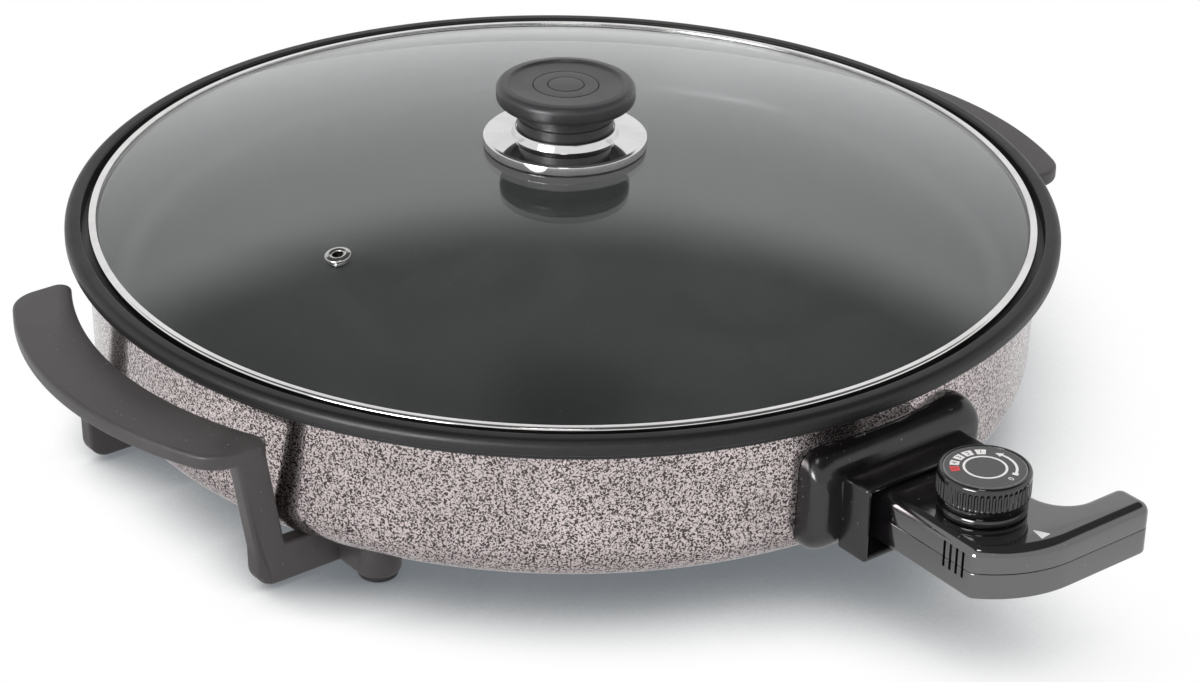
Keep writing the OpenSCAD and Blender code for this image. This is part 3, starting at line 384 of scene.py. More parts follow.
def add_piece(name, shape, body, finishes, replaces=(), cutters=(), crease=34,
              pick=None):
    """Makes a piece, cuts it, smooths it up to a crease angle in degrees, gives it its
    finishes and hangs it on its body. pick gives each face its finish's number from its
    centre, in millimetres."""
    piece = new_object(name, new_mesh(name, shape))
    if cutters:
        cut_away(piece, cutters)
    mesh = piece.data
    mesh.name = name
    mesh.materials.clear()
    for finish in finishes:
        mesh.materials.append(FINISHES[finish])
    if pick is not None:
        centres = np.empty(len(mesh.polygons) * 3)
        mesh.polygons.foreach_get("center", centres)
        mesh.polygons.foreach_set("material_index", pick(centres.reshape(-1, 3) * 1000))
    mesh.shade_smooth()
    mesh.set_sharp_from_angle(angle=math.radians(crease))
    mesh.update()
    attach(piece, body)
    if replaces:
        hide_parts(*replaces)


# ---- shader tools


class Board:
    """Short way to write one node tree."""

    def __init__(self, tree):
        self.tree = tree

    def node(self, kind, inputs=None, **settings):
        """New node, with its inputs by name or number, and its settings."""
        made = self.tree.nodes.new(kind)
        for key, value in settings.items():
            setattr(made, key, value)
        for key, value in (inputs or {}).items():
            self.feed(made.inputs[key], value)
        return made

    def feed(self, socket, value):
        """Links another socket to this one, or gives it a plain value."""
        if isinstance(value, bpy.types.NodeSocket):
            self.tree.links.new(value, socket)
        elif socket.type == "RGBA":
            socket.default_value = (*value, 1.0)
        else:
            socket.default_value = value

    def math(self, operation, a, b=0.0, clamp=False):
        return self.node("ShaderNodeMath", {0: a, 1: b}, operation=operation,
                         use_clamp=clamp).outputs[0]

    def times(self, a, b):
        return self.math("MULTIPLY", a, b)

    def plus(self, a, b, clamp=False):
        return self.math("ADD", a, b, clamp)

    def between(self, value, low, high, out_low=0.0, out_high=1.0, smooth=False):
        """Value moved from low..high to out_low..out_high and held inside it."""
        return self.node(
            "ShaderNodeMapRange",
            {"Value": value, "From Min": low, "From Max": high, "To Min": out_low,
             "To Max": out_high},
            interpolation_type="SMOOTHSTEP" if smooth else "LINEAR").outputs["Result"]

    def mix(self, share, a, b):
        """Colour a where the share is 0, and b where it is 1."""
        return self.node("ShaderNodeMix", {0: share, 6: a, 7: b}, data_type="RGBA").outputs[2]

    def choose(self, share, a, b):
        """Number a where the share is 0, and b where it is 1."""
        return self.node("ShaderNodeMix", {0: share, 2: a, 3: b}, data_type="FLOAT").outputs[0]

    def noise(self, vector, scale, detail=2.0, roughness=0.5, distortion=0.0):
        return self.node(
            "ShaderNodeTexNoise",
            {"Vector": vector, "Scale": scale, "Detail": detail, "Roughness": roughness,
             "Distortion": distortion}).outputs[0]

    def parts(self, vector):
        return self.node("ShaderNodeSeparateXYZ", {0: vector}).outputs

    def coordinates(self, kind="Object"):
        return self.node("ShaderNodeTexCoord").outputs[kind]

    def effect(self, name, vector, scale):
        """Outputs of a shared effect."""
        return self.node("ShaderNodeGroup", node_tree=bpy.data.node_groups[name],
                         inputs={"Vector": vector, "Scale": scale}).outputs

    def end(self, kind, surface):
        self.node(kind, {"Surface": surface})


def blank_tree(owner):
    """Emptied node tree of a material or a world."""
    owner.use_nodes = True
    owner.node_tree.nodes.clear()
    return owner.node_tree


def new_effect(name, *results):
    """Empty node group that takes a vector and a scale: the board to write it with, its vector,
    its scale, and a way to give each named result, which varies over the surface."""
    tree = bpy.data.node_groups.new(name, "ShaderNodeTree")
    tree.interface.new_socket("Vector", in_out="INPUT", socket_type="NodeSocketVector")
    scale = tree.interface.new_socket("Scale", in_out="INPUT", socket_type="NodeSocketFloat")
    scale.default_value = 500.0
    for label in results:
        tree.interface.new_socket(label, in_out="OUTPUT", socket_type="NodeSocketFloat")
    board = Board(tree)
    source = board.node("NodeGroupInput").outputs
    end = board.node("NodeGroupOutput").inputs

    def give(label, value, low, high, smooth=False):
        board.feed(end[label], board.between(value, low, high, smooth=smooth))

    return board, source["Vector"], source["Scale"], give


def build_shared_effects():
    """The effects that more than one material uses, each built once."""
    board, vector, scale, give = new_effect("Hammered Veins", "Veins", "Height")
    wander = board.noise(vector, board.times(scale, 0.35), 1.0)
    field = board.noise(vector, scale, 0.0, 0.4, 0.9)
    drift = board.times(board.math("SUBTRACT", wander, 0.5), 0.10)
    level = board.math("SUBTRACT", board.plus(field, drift), 0.5)
    give("Veins", level, -0.085, 0.045, smooth=True)
    give("Height", level, -0.14, 0.12, smooth=True)

    board, vector, scale, give = new_effect("Moulded Grain", "Grain", "Specks")
    give("Grain", board.noise(vector, scale, 4.0, 0.65), 0.3, 0.7)
    give("Specks", board.noise(vector, board.times(scale, 0.42), 0.0), 0.83, 0.86, smooth=True)

    board, vector, scale, give = new_effect("Handling Marks", "Smudge", "Scratch")
    cloud = board.noise(vector, board.times(scale, 0.06), 3.0, 0.6, 1.2)
    drawn_out = board.node("ShaderNodeMapping", {
        "Vector": vector, "Rotation": (0.3, 0.5, 0.9), "Scale": (1.0, 18.0, 18.0)}).outputs[0]
    give("Smudge", cloud, 0.35, 0.68, smooth=True)
    give("Scratch", board.noise(drawn_out, board.times(scale, 0.16)), 0.70, 0.78, smooth=True)

    board, vector, scale, give = new_effect("Turning Lines", "Lines")
    x, y, z = board.parts(vector)
    radius = board.math("SQRT", board.plus(board.times(x, x), board.times(y, y)))
    along = board.node("ShaderNodeCombineXYZ", {0: radius, 1: z}).outputs[0]
    give("Lines", board.noise(along, board.times(scale, 4.0), 2.0, 0.6), 0.3, 0.7)


FINISHES = {}


def shades(base, *factors):
    """A colour made darker or lighter by each factor."""
    return [tuple(min(1.0, part * factor) for part in base) for factor in factors]


class Finish(Board):
    """New material with one Principled shader, the object's coordinates and, where their scales
    are given, the shared grain and handling marks on them."""

    def __init__(self, name, grain=None, marks=None):
        material = FINISHES[name] = bpy.data.materials.new(name)
        super().__init__(blank_tree(material))
        shader = self.node("ShaderNodeBsdfPrincipled")
        self.end("ShaderNodeOutputMaterial", shader.outputs[0])
        self.inputs, self.place = shader.inputs, self.coordinates()
        if grain:
            self.grain, self.specks = self.effect("Moulded Grain", self.place, grain)
        if marks:
            self.smudge, self.scratch = self.effect("Handling Marks", self.place, marks)

    def surface(self, colour, roughness, **plain):
        """Feeds the colour and the roughness, and sets plain values on their own sockets, named
        with _ for a space."""
        self.feed(self.inputs["Base Color"], colour)
        self.feed(self.inputs["Roughness"], roughness)
        for name, value in plain.items():
            self.inputs[name.replace("_", " ")].default_value = value

    def bump(self, height, strength, depth_mm):
        made = self.node("ShaderNodeBump", {
            "Height": height, "Strength": strength, "Distance": depth_mm / 1000})
        self.feed(self.inputs["Normal"], made.outputs[0])


def hammered_paint(colours):
    """Metallic paint: dark cells in a raised and shinier web of light veins."""
    f = Finish("hammered_paint", marks=300.0)
    veins, height = f.effect("Hammered Veins", f.place, 1240.0)
    tone = f.mix(f.smudge, *shades(colours.paint_light, 0.90, 1.06))
    f.surface(f.mix(veins, tuple(colours.paint_dark), tone), f.between(veins, 0, 1, 0.16, 0.09),
              Metallic=0.97)
    f.bump(height, 0.5, 0.035)


def satin_rim(colours):
    """Satin metallic coat: a fine grain, paler where it is scratched, duller where handled."""
    f = Finish("satin_rim", 2600.0, 420.0)
    low, high, bare = shades(colours.rim, 0.72, 1.35, 1.9)
    rough = f.between(f.grain, 0, 1, 0.34, 0.45)
    f.surface(f.mix(f.scratch, f.mix(f.grain, low, high), bare),
              f.plus(rough, f.times(f.smudge, 0.05)), Metallic=0.82)
    f.bump(f.grain, 0.25, 0.06)


def non_stick_coat(colours):
    """Dull dark coat with a fine grain, pale specks and handling marks."""
    f = Finish("non_stick_coat", 1500.0, 160.0)
    tone = f.mix(f.smudge, *shades(colours.non_stick, 0.8, 1.5))
    rough = f.between(f.grain, 0, 1, 0.30, 0.40)
    f.surface(f.mix(f.specks, tone, (0.11, 0.11, 0.115)),
              f.plus(rough, f.times(f.smudge, 0.08)))
    f.bump(f.grain, 0.2, 0.08)


def clear_glass():
    """Clear glass with faint smears that dull it a little."""
    f = Finish("clear_glass", marks=90.0)
    f.surface(f.mix(f.smudge, (0.985, 0.995, 0.99), (0.965, 0.985, 0.978)),
              f.between(f.smudge, 0, 1, 0.0, 0.018), Transmission_Weight=1.0, IOR=1.5)
    f.bump(f.smudge, 0.05, 0.05)


def grained(name, grain, low, high, rough, bump):
    """Ceramic or print: a fine grain between two colours and two roughnesses."""
    f = Finish(name, grain)
    f.surface(f.mix(f.grain, low, high), f.between(f.grain, 0, 1, *rough))
    f.bump(f.grain, *bump)


def moulded(name, base, rough, grain, bump, speck, ior=1.5):
    """Moulded plastic or bakelite: a fine grain, soft handling marks and pale specks of dust."""
    f = Finish(name, grain, 380.0)
    smudged, clean, grained_tone = shades(base, 0.88, 1.16, 0.72)
    tone = f.mix(f.smudge, smudged, clean)
    toned = f.mix(f.times(f.grain, 0.35), tone, grained_tone)
    dull = f.between(f.smudge, 0, 1, *rough)
    f.surface(f.mix(f.times(f.specks, 0.55), toned, speck),
              f.plus(dull, f.times(f.scratch, 0.10), clamp=True), IOR=ior)
    f.bump(f.grain, bump, 0.05)


def metal(name, base, rough, scale, axis=None, bump=0.15, worn=None):
    """Bare metal with turning lines about an axis, or a fine grain without one, and smudges."""
    f = Finish(name, None if axis else scale, 420.0)
    if axis:
        shift = (-axis[0] / 1000, -axis[1] / 1000, 0.0)
        centred = f.node("ShaderNodeMapping", {"Vector": f.place, "Location": shift})
        lines, = f.effect("Turning Lines", centred.outputs[0], scale)
    else:
        lines = f.grain
    smudged, lined = shades(base, 0.78, 0.8)
    tone = f.mix(f.times(f.smudge, 0.6), base, worn or smudged)
    f.surface(f.mix(f.times(lines, 0.3), tone, lined),
              f.plus(f.between(lines, 0, 1, *rough), f.times(f.scratch, 0.08)), Metallic=1.0)
    f.bump(lines, bump, 0.03)


def grey(value):
    return (value,) * 3


def build_finishes(colours):
    build_shared_effects()
    hammered_paint(colours)
    satin_rim(colours)
    non_stick_coat(colours)
    clear_glass()
    handle, pale, hot = colours.handle, colours.marking, colours.hot_marking
    guard, dial, gloss = shades(colours.moulding, 0.9, 0.8, 1)
    # Name, colour, roughness low and high, scale of the grain, bump, specks, refraction.
    for row in (
            ("satin_handle", handle, (0.40, 0.52), 2200.0, 0.35, (0.30, 0.28, 0.27)),
            ("gloss_moulding", gloss, (0.05, 0.11), 1500.0, 0.03, (0.16, 0.15, 0.14), 2.3),
            ("guard_moulding", guard, (0.16, 0.26), 1700.0, 0.12, (0.20, 0.19, 0.18), 1.6),
            ("dial_moulding", dial, (0.07, 0.13), 1500.0, 0.04, grey(0.12), 1.7),
            ("dial_plate", (0.060, 0.058, 0.060), (0.22, 0.30), 2000.0, 0.10, grey(0.2)),
            ("dial_bevel", (0.16, 0.155, 0.155), (0.10, 0.16), 1500.0, 0.03, grey(0.3), 2.0),
            ("knob_moulding", (0.034, 0.032, 0.034), (0.27, 0.38), 2400.0, 0.25,
             (0.20, 0.19, 0.19)),
            ("black_rubber", grey(0.018), (0.62, 0.75), 1400.0, 0.4, grey(0.10))):
        moulded(*row)
    # Name, colour, roughness low and high, scale of the lines, axis, bump, colour where worn.
    for row in (
            ("vent_steel", (0.60, 0.585, 0.57), (0.12, 0.20), 900.0, None, 0.05),
            ("polished_steel", (0.86, 0.845, 0.83), (0.06, 0.11), 900.0, PAN_AXIS),
            ("mirror_steel", (0.84, 0.825, 0.82), (0.03, 0.06), 700.0, PAN_AXIS, 0.03),
            ("zinc_plate", (0.62, 0.63, 0.64), (0.28, 0.40), 900.0, None, 0.15,
             (0.52, 0.50, 0.42)),
            ("cast_aluminium", (0.60, 0.60, 0.61), (0.42, 0.56), 600.0, None, 0.5),
            ("element_steel", (0.20, 0.185, 0.17), (0.38, 0.52), 800.0, None, 0.15,
             (0.20, 0.13, 0.10)),
            ("contact_metal", (0.72, 0.69, 0.60), (0.18, 0.28), 1200.0),
            ("contact_brass", (0.72, 0.53, 0.24), (0.22, 0.34), 1200.0)):
        metal(*row)
    grained("white_ceramic", 900.0, (0.78, 0.75, 0.68), (0.86, 0.84, 0.79), (0.30, 0.45),
            (0.2, 0.05))
    for name, ink in (("pale_print", pale), ("hot_print", hot),
                      ("dark_print", (0.045, 0.043, 0.045))):
        grained(name, 1800.0, *shades(ink, 0.90, 1.05), (0.38, 0.52), (0.1, 0.02))


NODE_FINISHES = {
    "cast_aluminium": ["heat_spreader", "mounting_posts"],
    "element_steel": ["heating_element"],
    "zinc_plate": ["element_clips", "clip_screws", "terminal_bracket", "probe_tube",
                   "guard_screws", "handle_screws", "lid_washer", "lid_screw", "cover_screws",
                   "thermostat_frame", "dial_spindle"],
    "contact_metal": ["terminal_pins"],
    "white_ceramic": ["pin_insulators", "contact_block"],
    "black_rubber": ["upper_gasket", "lower_gasket"],
    "contact_brass": ["knob_insert", "contact_sockets", "bimetal_strip", "contact_leaves"],
    "polished_steel": ["probe_rod"],
    "satin_handle": ["cord_clamp"],
}


# ---- pan


def casing_sizes(s):
    """The casing's radius above its bend, the bend, the underside, and the radius and height of
    its top, which is tucked under the pan's ledge."""
    wall, seat = mm(s.casing_radius), mm(s.rim_height - s.seat_depth)
    return wall - 1, mm(s.casing_bend), mm(s.casing_height), wall, seat - 3


def lower_bend(radius, bend, base, top_radius, top, steps=14):
    """Half section of the casing's outside: flat bottom, a quarter arc of radius bend, and a
    wall that leans out from radius at the bend to top_radius at the top."""
    turn = np.linspace(-RIGHT, 0, steps + 1)
    arc = np.array([radius - bend, base + bend]) + bend * circle(turn)
    share = np.linspace(0, 1, 6)[1:, None]
    return np.vstack([arc, arc[-1] * (1 - share) + np.array([top_radius, top]) * share])


def casing_radius_at(s, height):
    """Outer radius of the casing at a height: the bend's arc below, the leaning wall above."""
    line = lower_bend(*casing_sizes(s), 24)
    return np.interp(height, line[:, 1], line[:, 0])


class PIZZAPAN_OT_pan(bpy.types.Operator):
    """Build the cooking pan with its rolled rim, and the casing round it"""

    bl_idname = "pizzapan.pan"
    bl_label = "Pan and Casing"

    def execute(self, context):
        s = context.scene.pizzapan_pan
        rim, top, seat = mm(s.rim_radius), mm(s.rim_height), mm(s.rim_height - s.seat_depth)
        floor, axis, coat, sheet = mm(s.floor_height), 0.01, 3.0, 1.2
        foot, bend, base, wall, ledge = casing_sizes(s)
        recess, cavity, low = rim - mm(s.rim_width), wall - 5.7, top - 6.3
        profile = section([
            (axis, floor - coat, 0), (cavity + 1.5, floor - coat, 15), (cavity + coat, ledge, 0.4),
            (recess + coat, ledge, 0.2), (recess + coat, low, 0.3), (rim, low, 1.0),
            (rim, top, 3.15), (recess, top, 0.9), (recess, seat, 0.3), (cavity, seat, 1.2),
            (cavity - 4, floor, 12), (120, floor, 0), (60, floor, 0), (axis, floor, 0)],
            9, closed=False)
        add_piece("cooking_pan", turned(profile, around=384, loop=False, ends="point"), "pan",
                  ["satin_rim", "non_stick_coat"], ["pan_shell"],
                  pick=above(floor - 1.5, PAN_AXIS, outer=recess + 0.15))

        outside = lower_bend(foot, bend, base, wall, ledge)
        inside = lower_bend(foot - sheet, bend - sheet, base + sheet, wall - sheet, ledge)
        shell = np.vstack([[[40, base], [110, base]], outside, inside[::-1],
                           [[110, base + sheet], [40, base + sheet]]])
        pin_window = block(outwards(-20, wall + 2, 33), outwards(20, 190, 52))
        add_piece("casing_wall", turned(shell, around=360, loop=False, ends="point"), "pan",
                  ["hammered_paint"], ["outer_casing"], cutters=[pin_window])
        return {"FINISHED"}


# ---- handles and feet


PLATE_CURVE = 165.0     # radius of the finger plate's two long sides
PLATE_MIDDLE = 5.25     # how far the plate's middle lies behind the pan's axis
PLATE_UNDER = 66.4      # height at which the leg's inner face stands at LEG_INNER
LEG_INNER = 199.66      # from the pan's axis to the leg's inner face, at the plate
LEG_LEAN = 12.4         # how far the leg leans in on its way down
LEG_RISE = 46.8         # height over which the leg's lean and splay are given
ARM_TOP = 19.4          # height of the arm's top
FOOT_X, FOOT_Y = 153.0, 80.3


def rounded_edges(low, high, rounding, steps=6):
    """Profile rows (depth, level) of a slab between two levels: a quarter arc of the rounding,
    the wall, and another quarter arc."""
    turn = np.linspace(0, RIGHT, steps + 1)
    depth, rise = rounding * (1 - np.sin(turn)), rounding * (1 - np.cos(turn))
    return np.vstack([np.stack([depth, low + rise], 1), np.stack([depth, high - rise], 1)[::-1]])


def plate_end(s, side, steps=12):
    """One end of the finger plate, from the outer arc round to the inner one: a corner of 16 mm,
    the straight end and a corner of 5 mm. A corner's centre lies on a circle about the long
    side's own centre, nearer to it or farther from it by the corner's radius."""
    curve, outer, inner = PLATE_CURVE, 16.0, 5.0
    edge = PLATE_MIDDLE + side * mm(s.plate_length) / 2

    def corner(radius, reach, back, turns):
        y = edge - side * radius
        first, last = turns(math.asin(y / reach))
        centre = np.array([math.sqrt(reach ** 2 - y ** 2) - back, y])
        return centre + radius * circle(np.linspace(first, last, steps))

    return np.vstack([
        corner(outer, curve - outer, 0, lambda lean: (lean, side * RIGHT)),
        corner(inner, curve + inner, mm(s.plate_width),
               lambda lean: (side * RIGHT, side * np.pi + lean))]) + [mm(s.outer_reach) - curve, 0]


def finger_plate(s):
    """Plan of the finger plate on the +X side: two arcs of 165 mm radius, the inner one moved in
    by the plate's width, and the two ends, from y = -76.5 to y = 87."""
    far, near = plate_end(s, 1), plate_end(s, -1)
    shift = mm(s.outer_reach) - PLATE_CURVE

    def arc(start, stop, moved):
        y = np.linspace(start, stop, 44)[1:-1]
        return np.stack([shift - moved + np.sqrt(PLATE_CURVE ** 2 - y ** 2), y], 1)

    return np.vstack([arc(near[0, 1], far[0, 1], 0), far,
                      arc(far[-1, 1], near[-1, 1], mm(s.plate_width)), near[::-1]])


def bracket_side(s, top):
    """Leg and arm seen along the plate: the leg leans in on its way down, bends over 13 mm and
    runs on as the arm under the pan."""
    inner, outer = LEG_INNER, LEG_INNER + mm(s.leg_width)
    sole, rise = 2.6, LEG_LEAN * (top - PLATE_UNDER) / LEG_RISE
    line = section([
        (FOOT_X, sole, 2), (outer - LEG_LEAN - 0.4, sole, 13), (outer - LEG_LEAN, ARM_TOP, 8),
        (outer + rise, top, 0), (inner + rise, top, 0), (inner - LEG_LEAN, ARM_TOP, 3),
        (FOOT_X, ARM_TOP, 2)], 12)
    return split_long(line, 4)


class PIZZAPAN_OT_handles(bpy.types.Operator):
    """Build both handles with their brackets and feet, and the rubber pads"""

    bl_idname = "pizzapan.handles"
    bl_label = "Handles and Feet"

    def execute(self, context):
        s = context.scene.pizzapan_handles
        top, under = mm(s.plate_top), mm(s.plate_top - s.plate_thickness)
        leg_y, half, splay = 63.2, mm(s.leg_thickness) / 2, 8.6
        foot_radius, rounding = 9.5, 1.5
        plan = finger_plate(s)
        side = bracket_side(s, under + 1.2)
        round_end = foot_radius * circle(np.linspace(0, np.pi, 25))
        stadium = split_long(np.vstack([[0, FOOT_Y] + round_end, [0, leg_y] - round_end]), 3)
        levels = [(1.6, 2.4), (0.9, 2.75), (0.35, 3.4), (0, 4.4), (0, 12), (0, 18.9)]
        for name, node, sign in (("left_grip", "left_handle", -1),
                                 ("right_grip", "right_handle", 1)):
            parts = [slab(plan, rounded_edges(under, top, rounding),
                          lambda u, v, w: xyz(sign * u, v + PAN_Y, w))]
            for end in (-1, 1):
                def leaning(u, v, w):
                    spread = leg_y + splay * np.clip((v - ARM_TOP) / LEG_RISE, 0, None)
                    return xyz(sign * u, end * spread + w + PAN_Y, v)

                parts.append(slab(side, rounded_edges(-half, half, rounding), leaning))
                parts.append(slab(stadium, levels, lambda u, v, w: xyz(
                    sign * (FOOT_X + u), end * v + PAN_Y, w)))
            add_piece(name, joined(*map(facing_out, parts)), "pan", ["satin_handle"], [node],
                      crease=42)
        axis = 1e-3
        profile = [(axis, 0.0), (6.6, 0.0), (7.4, 0.15), (7.9, 0.6), (8.1, 1.2), (8.1, 2.4),
                   (4.6, 2.4), (4.4, 2.0), (axis, 2.0)]
        pads = joined(*(turned(profile, (x * FOOT_X, PAN_Y + y * FOOT_Y), 64, loop=False)
                        for x in (-1, 1) for y in (-1, 1)))
        add_piece("standing_pads", pads, "pan", ["black_rubber"], ["foot_pads"])
        return {"FINISHED"}


# ---- socket guard


def rounded_frame(width, low, high, corner, steps=12):
    """Rounded rectangle (x, z) between two heights, counter-clockwise."""
    half = width / 2
    return split_long(fillet([(-half, low), (half, low), (half, high), (-half, high)],
                             corner, steps, closed=True), 3)


class PIZZAPAN_OT_guard(bpy.types.Operator):
    """Build the guard round the socket: a flange that hugs the casing, and an open sleeve"""

    bl_idname = "pizzapan.guard"
    bl_label = "Socket Guard"

    def execute(self, context):
        front, width, low, high, corner, clearance = 209.0, 87.0, 25.5, 70.5, 9.0, 0.3
        narrowing, bulge, middle_z = np.array([6.0, 12.0]), 6, 47
        outline = rounded_frame(width, low, high, corner)
        half = np.array([width, high - low]) / 2
        centre = np.array([0, (high + low) / 2])
        level = np.clip((np.abs(outline[:, 1] - centre[1]) - half[1] + corner) / corner, 0, 1)
        edge = bulge + bulge * level

        def on_casing(x, z):
            """Points just clear of the casing, in front of points (x, z)."""
            reach = casing_radius_at(context.scene.pizzapan_pan, z) + clearance
            return outwards(x, np.sqrt(reach ** 2 - (x + SOCKET_X) ** 2), z)

        back = on_casing(*outline.T)
        rings = []
        for turn in np.linspace(0, RIGHT, 14):
            scale = 1 - narrowing * (1 - math.sin(turn)) / half
            x, z = ((outline - centre) * scale + centre).T
            ring = outwards(x, front - edge * (1 - math.cos(turn)), z)
            ring[:, 1] = np.minimum(ring[:, 1], back[:, 1] - 0.05)
            rings.append(ring)
        rings.append(back)
        for share in (0.35, 0.7):
            x, z = outline.T
            rings.append(on_casing(x * (1 - share), middle_z + (z - middle_z) * (1 - share)))

        hollow = 2.5
        rows = [(0, front - 1), (0, 221.4), (0.35, 222.15), (1.1, 222.5), (1.9, 222.4),
                (hollow, 221.8), (hollow, 204.25)]
        sleeve = slab(rounded_frame(62, 28, 60.5, 1.6, 4), rows,
                      lambda u, v, w: outwards(u, w, v))
        passage = block(outwards(-28.5, 210, 30.5), outwards(28.5, 204.2, 58))
        add_piece("socket_cover", joined(skin(rings, "cap", "point"), sleeve), "pan",
                  ["guard_moulding"], ["socket_guard"], crease=40,
                  cutters=[passage])
        return {"FINISHED"}


# ---- lid


def vent_frame(s):
    """Point on the glass where the vent sits, and the turn from upright to square to the glass."""
    dome, from_axis, round_axis = mm(s.dome_radius), 126.8, math.radians(187)
    tilt = math.asin(from_axis / dome)
    turn = Matrix.Rotation(round_axis, 3, "Z") @ Matrix.Rotation(tilt, 3, "Y")
    centre = np.array([*PAN_AXIS, mm(s.apex_height) - dome])
    return centre + dome * np.array(turn @ Vector((0, 0, 1))), np.array(turn)


class PIZZAPAN_OT_lid(bpy.types.Operator):
    """Build the domed glass, its steel band and the steam vent"""

    bl_idname = "pizzapan.lid"
    bl_label = "Glass Lid"

    def execute(self, context):
        s = context.scene.pizzapan_lid
        dome, glass, thick = mm(s.dome_radius), mm(s.glass_radius), mm(s.glass_thickness)
        centre, hole, bore = mm(s.apex_height) - dome, 5.0, 3.6
        radius = np.linspace(hole, glass, 72)
        outer, inner = (np.stack([radius, centre + np.sqrt(r ** 2 - radius ** 2)], 1)
                        for r in (dome, dome - thick))
        edge = [[glass, (outer[-1, 1] + inner[-1, 1]) / 2]]
        point, turn = vent_frame(s)
        add_piece("glass_dome", turned(np.vstack([inner, edge, outer[::-1]]), around=320), "lid",
                  ["clear_glass"], ["lid_glass"],
                  cutters=[rod(point - turn[:, 2] * 8, turn[:, 2], bore, 12)])

        band, base = mm(s.band_radius), 83.5
        lip, top, sheet = band - 3.3, base + 6.7, 0.75
        profile = section([
            (band - 0.5, base, 0.2), (band, base, 0.2), (band, top, 1.1), (lip, top, 0.35),
            (lip, top - 0.7, 0.3), (band - sheet, top - sheet, 0.5),
            (band - sheet, base + 0.9, 0.2), (lip, base + 0.8, 0.2), (lip, base, 0.2)])
        add_piece("steel_band", turned(profile, around=384), "lid", ["polished_steel"],
                  ["lid_band"], crease=50)

        profile = section([
            (2.3, -5.3, 0.3), (4.3, -5.3, 0.3), (4.3, -4.15, 0.2), (3.1, -4.05, 0.1),
            (3.1, 0.05, 0.1), (5.5, 0.05, 0.2), (5.3, 0.75, 0.5), (3.6, 1.25, 0.6),
            (2.3, 0.9, 0.5)], 5)
        vertices, faces = turned(profile, (0.0, 0.0), 72)
        add_piece("steam_vent", (vertices @ turn.T + point, faces), "lid", ["vent_steel"],
                  ["vent_eyelet"], crease=50)
        return {"FINISHED"}


class PIZZAPAN_OT_knob(bpy.types.Operator):
    """Build the lid's knob and the stepped steel disc under it"""

    bl_idname = "pizzapan.knob"
    bl_label = "Knob"

    def execute(self, context):
        s = context.scene.pizzapan_lid
        apex, disc, cap, top = (mm(s.apex_height), mm(s.disc_radius), mm(s.knob_radius),
                                mm(s.knob_top))
        low, disc_top, sheet = -7.55, apex + 7.0, 0.8
        profile = section([
            (3.0, -sheet, 0), (20.2, -sheet, 0.8), (21.2, -3.7, 0.8), (disc - 2, -4.2, 1),
            (disc - sheet, -4.9, 0.3), (disc - sheet, low, 0), (disc, low, 0.3),
            (disc, -3.9, 0.5), (disc - 1.0, -3.2, 0.6), (22.8, -2.9, 0.6), (22.0, -0.1, 0.2),
            (21.6, 0.6, 0.3), (20.8, 0.5, 0.3), (20.7, 0, 0.1), (3.0, 0, 0)])
        add_piece("knob_dish", turned(profile + [0, disc_top]), "lid", ["mirror_steel"],
                  ["knob_disc"], crease=40)

        under, neck, bore, axis = top - 9.0, disc_top + 0.02, 4.35, 0.01
        seam = disc_top + 0.45 * (under - disc_top)
        step, ring, eye, wide = 0.80 * cap, 0.47 * cap, 0.26 * cap, 0.35
        profile = section([
            (bore, disc_top + 10, 0), (bore, neck, 0.2), (20.3, neck, 0.4), (20.5, seam, 0.35),
            (19.7, seam + 0.45, 0.3), (19.8, under + 0.9, 0.9), (cap - 4.6, under + 0.1, 0.5),
            (cap - 0.1, under + 0.8, 3.5), (cap, top - 0.4, 3.7), (step + 0.8, top, 0.35),
            (step, top - 0.9, 0.3), (0.55 * cap, top - 1.15, 0), (ring + wide, top - 1.15, 0.1),
            (ring, top - 1.6, 0), (ring - wide, top - 1.1, 0.1), (eye + wide, top - 1.1, 0.1),
            (eye, top - 1.55, 0), (eye - wide, top - 1.0, 0.1), (axis, top - 0.95, 0),
            (axis, disc_top + 10, 0)], 8)
        add_piece("lid_grip", turned(profile, around=224), "lid", ["knob_moulding"],
                  ["lid_knob"], crease=38)
        return {"FINISHED"}


# ---- thermostat


def thermostat_outline(s, steps=10):
    """Plan of the thermostat (x, distance outwards from the pan's axis), counter-clockwise: a
    straight body with a slight flare on its left, a front swept on a 50 mm circle, and an arm
    to the right joined by a 14 mm sweep. Outer corners are rounded by 4.6 mm."""
    half, nose, front = mm(s.body_width) / 2, 207.0, 289.0
    reach, width, corner, sweep = half + mm(s.arm_reach), mm(s.arm_width), 4.6, 50.0
    back, flare, inner = front - width, 2.0, 14.0
    centre = np.array([12.0, front - sweep])
    start, end = np.array([-half, nose]), np.array([-half - flare, front])
    along = (end - start) / np.hypot(*(end - start))
    inward = np.array([along[1], -along[0]])
    base = start + corner * inward - centre
    far = math.sqrt((sweep - corner) ** 2 - base @ base + (base @ along) ** 2) - base @ along
    ball = centre + base + far * along
    on_sweep = math.atan2(*(ball - centre)[::-1])
    on_side = math.atan2(*(-inward)[::-1]) % (2 * np.pi)

    def arc(x, y, radius, first, last, count=steps):
        return np.array([x, y]) + radius * circle(np.linspace(first, last, count + 1))

    return np.vstack([
        arc(-half + corner, nose + corner, corner, np.pi, 3 * RIGHT),
        arc(half - corner, nose + corner, corner, -RIGHT, 0),
        arc(half + inner, back - inner, inner, np.pi, RIGHT, 16),
        arc(reach - corner, back + corner, corner, -RIGHT, 0),
        arc(reach - corner, front - corner, corner, 0, RIGHT),
        arc(*centre, sweep, RIGHT, on_sweep, 28),
        arc(*ball, corner, on_sweep, on_side)[1:]])


